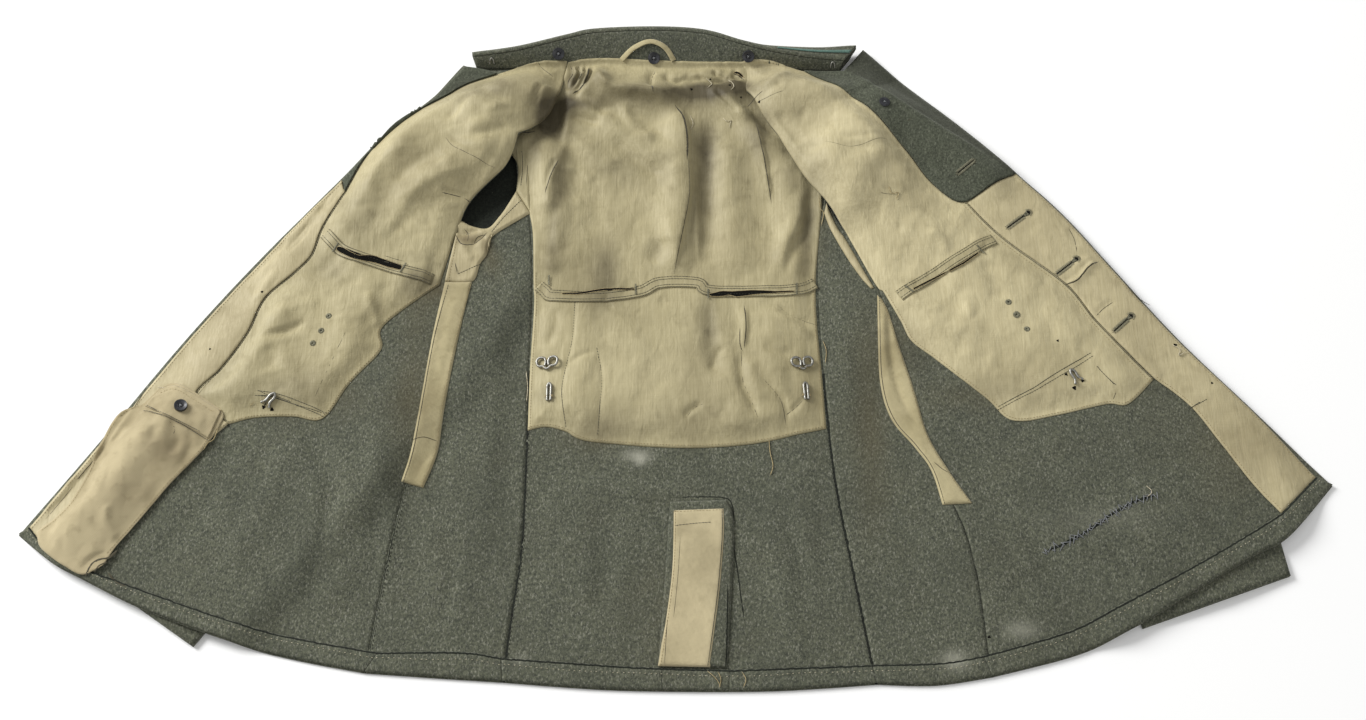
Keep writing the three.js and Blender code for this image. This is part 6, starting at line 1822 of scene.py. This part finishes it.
def makeButton(name, s, place, spin=0.4):
    # turned profile: radius and height round the middle, the dish sunk round each of four thread holes
    r, e, d = s["radius"], s["edge"], s["dish"]
    profile = run((0.05, d), (r * 0.35, d * 0.98), (r - s["rim"] - 1.2, d + 0.02), (r - s["rim"], e - 0.35),
        (r - s["rim"] * 0.55, e + 0.08), (r - 0.35, e - 0.25), (r, e - 0.9), (r, 0.7), (r - 0.8, 0.1),
        (r * 0.5, 0.0), (0.05, 0.0))
    profile = spaced(profile, 70)
    a = np.linspace(0, 2 * np.pi, 72, endpoint=False)
    x = profile[:, :1] * np.cos(a)[None]
    y = profile[:, :1] * np.sin(a)[None]
    z = np.repeat(profile[:, 1:], len(a), axis=1)
    top = np.arange(len(profile))[:, None] < 34
    for k in range(4):
        hx, hy = s["apart"] * math.cos(spin + k * math.pi / 2), s["apart"] * math.sin(spin + k * math.pi / 2)
        near = np.sqrt((x - hx) ** 2 + (y - hy) ** 2)
        z = z - np.where(top, 1.2 * fade(near - s["hole"] * 0.6, s["hole"] * 0.7), 0)
    verts = placed(np.stack([x, y, z], axis=2).reshape(-1, 3), place)
    obj = meshFrom("detail_" + name, toWorld(verts), gridFaces(len(profile), len(a), closed=True),
        materials["button"])
    normals = np.zeros(len(obj.data.polygons) * 3, np.float32)
    centres = np.zeros(len(obj.data.polygons) * 3, np.float32)
    obj.data.polygons.foreach_get("normal", normals)
    obj.data.polygons.foreach_get("center", centres)
    away = centres.reshape(-1, 3) - toWorld(placed(np.array([[0, 0, e / 2]]), place))
    if (normals.reshape(-1, 3) * away).sum() < 0:
        obj.data.flip_normals()
    bind(obj, name)
    sewnOn = Gather()
    for k in (0, 1):
        for shift in (-0.28, 0.0, 0.28):
            a0 = spin + k * math.pi / 2
            hx, hy = s["apart"] * math.cos(a0), s["apart"] * math.sin(a0)
            ox, oy = -shift * math.sin(a0), shift * math.cos(a0)
            t = np.linspace(-1, 1, 9)
            path = np.column_stack([hx * t + ox, hy * t + oy, d + 0.45 - 1.3 * np.abs(t) ** 5])
            sewnOn.add(*tube(placed(path, place), 0.22, 6))
    sewnOn.build("thread_" + name, materials["greyThread"], "cotton")


def standPlace(x, share):
    column = int(np.argmin(np.abs(seamPlan[:, 0] - x)))
    row = int(round(share * (len(stand) - 1)))
    centre = stand[row, column] + standNormal[row, column] * (collar["standWall"] / 2 + 0.3)
    return frameAt(centre, standNormal[row, column])


makeButton("collar_button_right", buttons["large"], standPlace(-134, 0.5), 0.3)
makeButton("collar_button_back", buttons["large"], standPlace(-27, 0.25), 0.9)
makeButton("collar_button_left", buttons["large"], standPlace(77, 0.5), 0.5)
makeButton("lapel_button", buttons["small"], clothPlace("woolFacingLeft", 222, 275, 0.35), 0.7)
makeButton("pocket_button", buttons["large"], clothPlace("band", -502, -80, 0.5), 1.0)


def makeWire(name, points, radius, place):
    # bent wire: a round section along a smooth path, its ends cut blunt
    path = np.array([(x, y, radius) for x, y in points], float)
    smooth = smoothThrough(path, len(path) * 12)
    verts, faces = tube(placed(smooth, place), radius, 12, taper=False)
    obj = meshFrom("detail_" + name, toWorld(verts), faces, materials["steel"])
    bind(obj, name)


doubleLoop = ((-2.0, -3.2), (-1.5, 2.0), (-3.4, 5.4), (-7.8, 6.0), (-10.8, 3.4), (-10.6, -0.8), (-8.4, -3.4),
    (-4.4, -3.9), (-1.3, -6.4), (1.3, -6.4), (4.4, -3.9), (8.4, -3.4), (10.6, -0.8), (10.8, 3.4), (7.8, 6.0),
    (3.4, 5.4), (1.5, 2.0), (2.0, -3.2))
longLoop = ((-1.3, -9.2), (-1.9, -7.4), (-1.9, 0), (-1.9, 7), (0, 9.6), (1.9, 7), (1.9, 0), (1.9, -7.4),
    (1.3, -9.2))
frontHook = ((-5, -6.5), (-2.2, -2.2), (-1.4, 5), (1.2, 8.6), (3.6, 5), (2.8, -2.2), (5.4, -6.5))
smallHook = ((-2.4, -3.2), (-1.7, 1.4), (0, 3.6), (1.7, 1.4), (2.4, -3.2))
wire = {"belt": 1.3, "collar": 0.6, "thread": 0.28}  # radii
hardware = (
    ("belt_loop_right", doubleLoop, "back", -135, -27, 0.5, 0.0),
    ("belt_loop_left", doubleLoop, "back", 126, -27, 0.5, 0.12),
    ("belt_bar_right", longLoop, "back", -132, -60, 0.5, 0.0),
    ("belt_bar_left", longLoop, "back", 129, -59, 0.5, 0.05),
    ("front_hook_right", frontHook, "right", -415, -71, 0.2, math.radians(-34)),
    ("front_hook_left", frontHook, "left", 402, -47, 0.2, math.radians(34)),
)
for name, shape, layer, x, y, above, spin in hardware:
    place = clothPlace(layer, x, y, above, spin)
    makeWire(name, shape, wire["belt"], place)
    hold = Gather()
    t = np.linspace(-1, 1, 5)
    for sx, sy in ((-3.2, -5.0), (3.2, -5.0), (0, 3.6)) if "loop" in name else ((-3.2, -4.5), (3.2, -4.5)):
        for j in range(4):
            local = np.column_stack([sx + t * 1.7, np.full(5, sy + (j - 1.5) * 0.55),
                1.0 + 1.35 * (1 - t ** 2) - 1.0 * np.abs(t) ** 3])
            hold.add(*tube(placed(local, place), wire["thread"], 6))
    hold.build("thread_" + name, materials["tanThread"], "cotton")
makeWire("collar_hook", smallHook, wire["collar"], standPlace(-206, 0.5))
makeWire("collar_eye", smallHook, wire["collar"], standPlace(166, 0.5))

# hanger loop: a flat turned strip of cotton, arched over the stand
loop = {"halfWidth": 3.0, "wall": 1.2, "above": 1.7}
hangerLine = spaced(run((-64, 341), (-50, 352), (-32, 358), (-16, 352), (-6, 339)), 90)
hangerRows = []
for share in np.linspace(-1, 1, 9):
    q = hangerLine + leftOf(hangerLine) * share * loop["halfWidth"]
    z = standTop(hangerLine) + collar["standWall"] / 2 + loop["above"] + 0.5 * (1 - share ** 2)
    z = z + 0.15 * ripple(q, 8, 33)
    hangerRows.append(np.column_stack([q, z]))
hangerGrid = np.array(hangerRows)
hanger = meshFrom("cloth_hanger_loop", toWorld(hangerGrid.reshape(-1, 3)), gridFaces(*hangerGrid.shape[:2]),
    materials["cotton"])
setAttribute(hanger, "soil", np.full(len(hanger.data.vertices), 0.05))
if hanger.data.polygons[0].normal.z < 0:
    hanger.data.flip_normals()
thicken(hanger, loop["wall"])
bind(hanger, "hanger_loop")

# the plain tape on the leaf, from this share of the collar's length to its end
tapeCut = {"from": 0.8, "wall": 0.8, "above": 1.1}
tapeFrom = int(tapeCut["from"] * (collar["columns"] - 1))
tapeRows = []
for fromRow, toRow, share in ((2, 1, 0.3), (2, 1, 0.15), (2, 1, 0.0), (2, 3, 0.08), (2, 3, 0.15)):
    row = leafRows[fromRow] * (1 - share) + leafRows[toRow] * share
    row = row[tapeFrom:].copy()
    row[:, 2] += collar["leafWall"] / 2 + tapeCut["above"]
    tapeRows.append(row)
tapeGrid = np.array(tapeRows)
tape = meshFrom("cloth_collar_tape", toWorld(tapeGrid.reshape(-1, 3)), gridFaces(*tapeGrid.shape[:2]),
    materials["tape"])
if tape.data.polygons[len(tape.data.polygons) // 2].normal.z < 0:
    tape.data.flip_normals()
thicken(tape, tapeCut["wall"])
bind(tape, "collar_tape")
print("buttons, hooks, loop and tape done")

# the end
print("scene built")
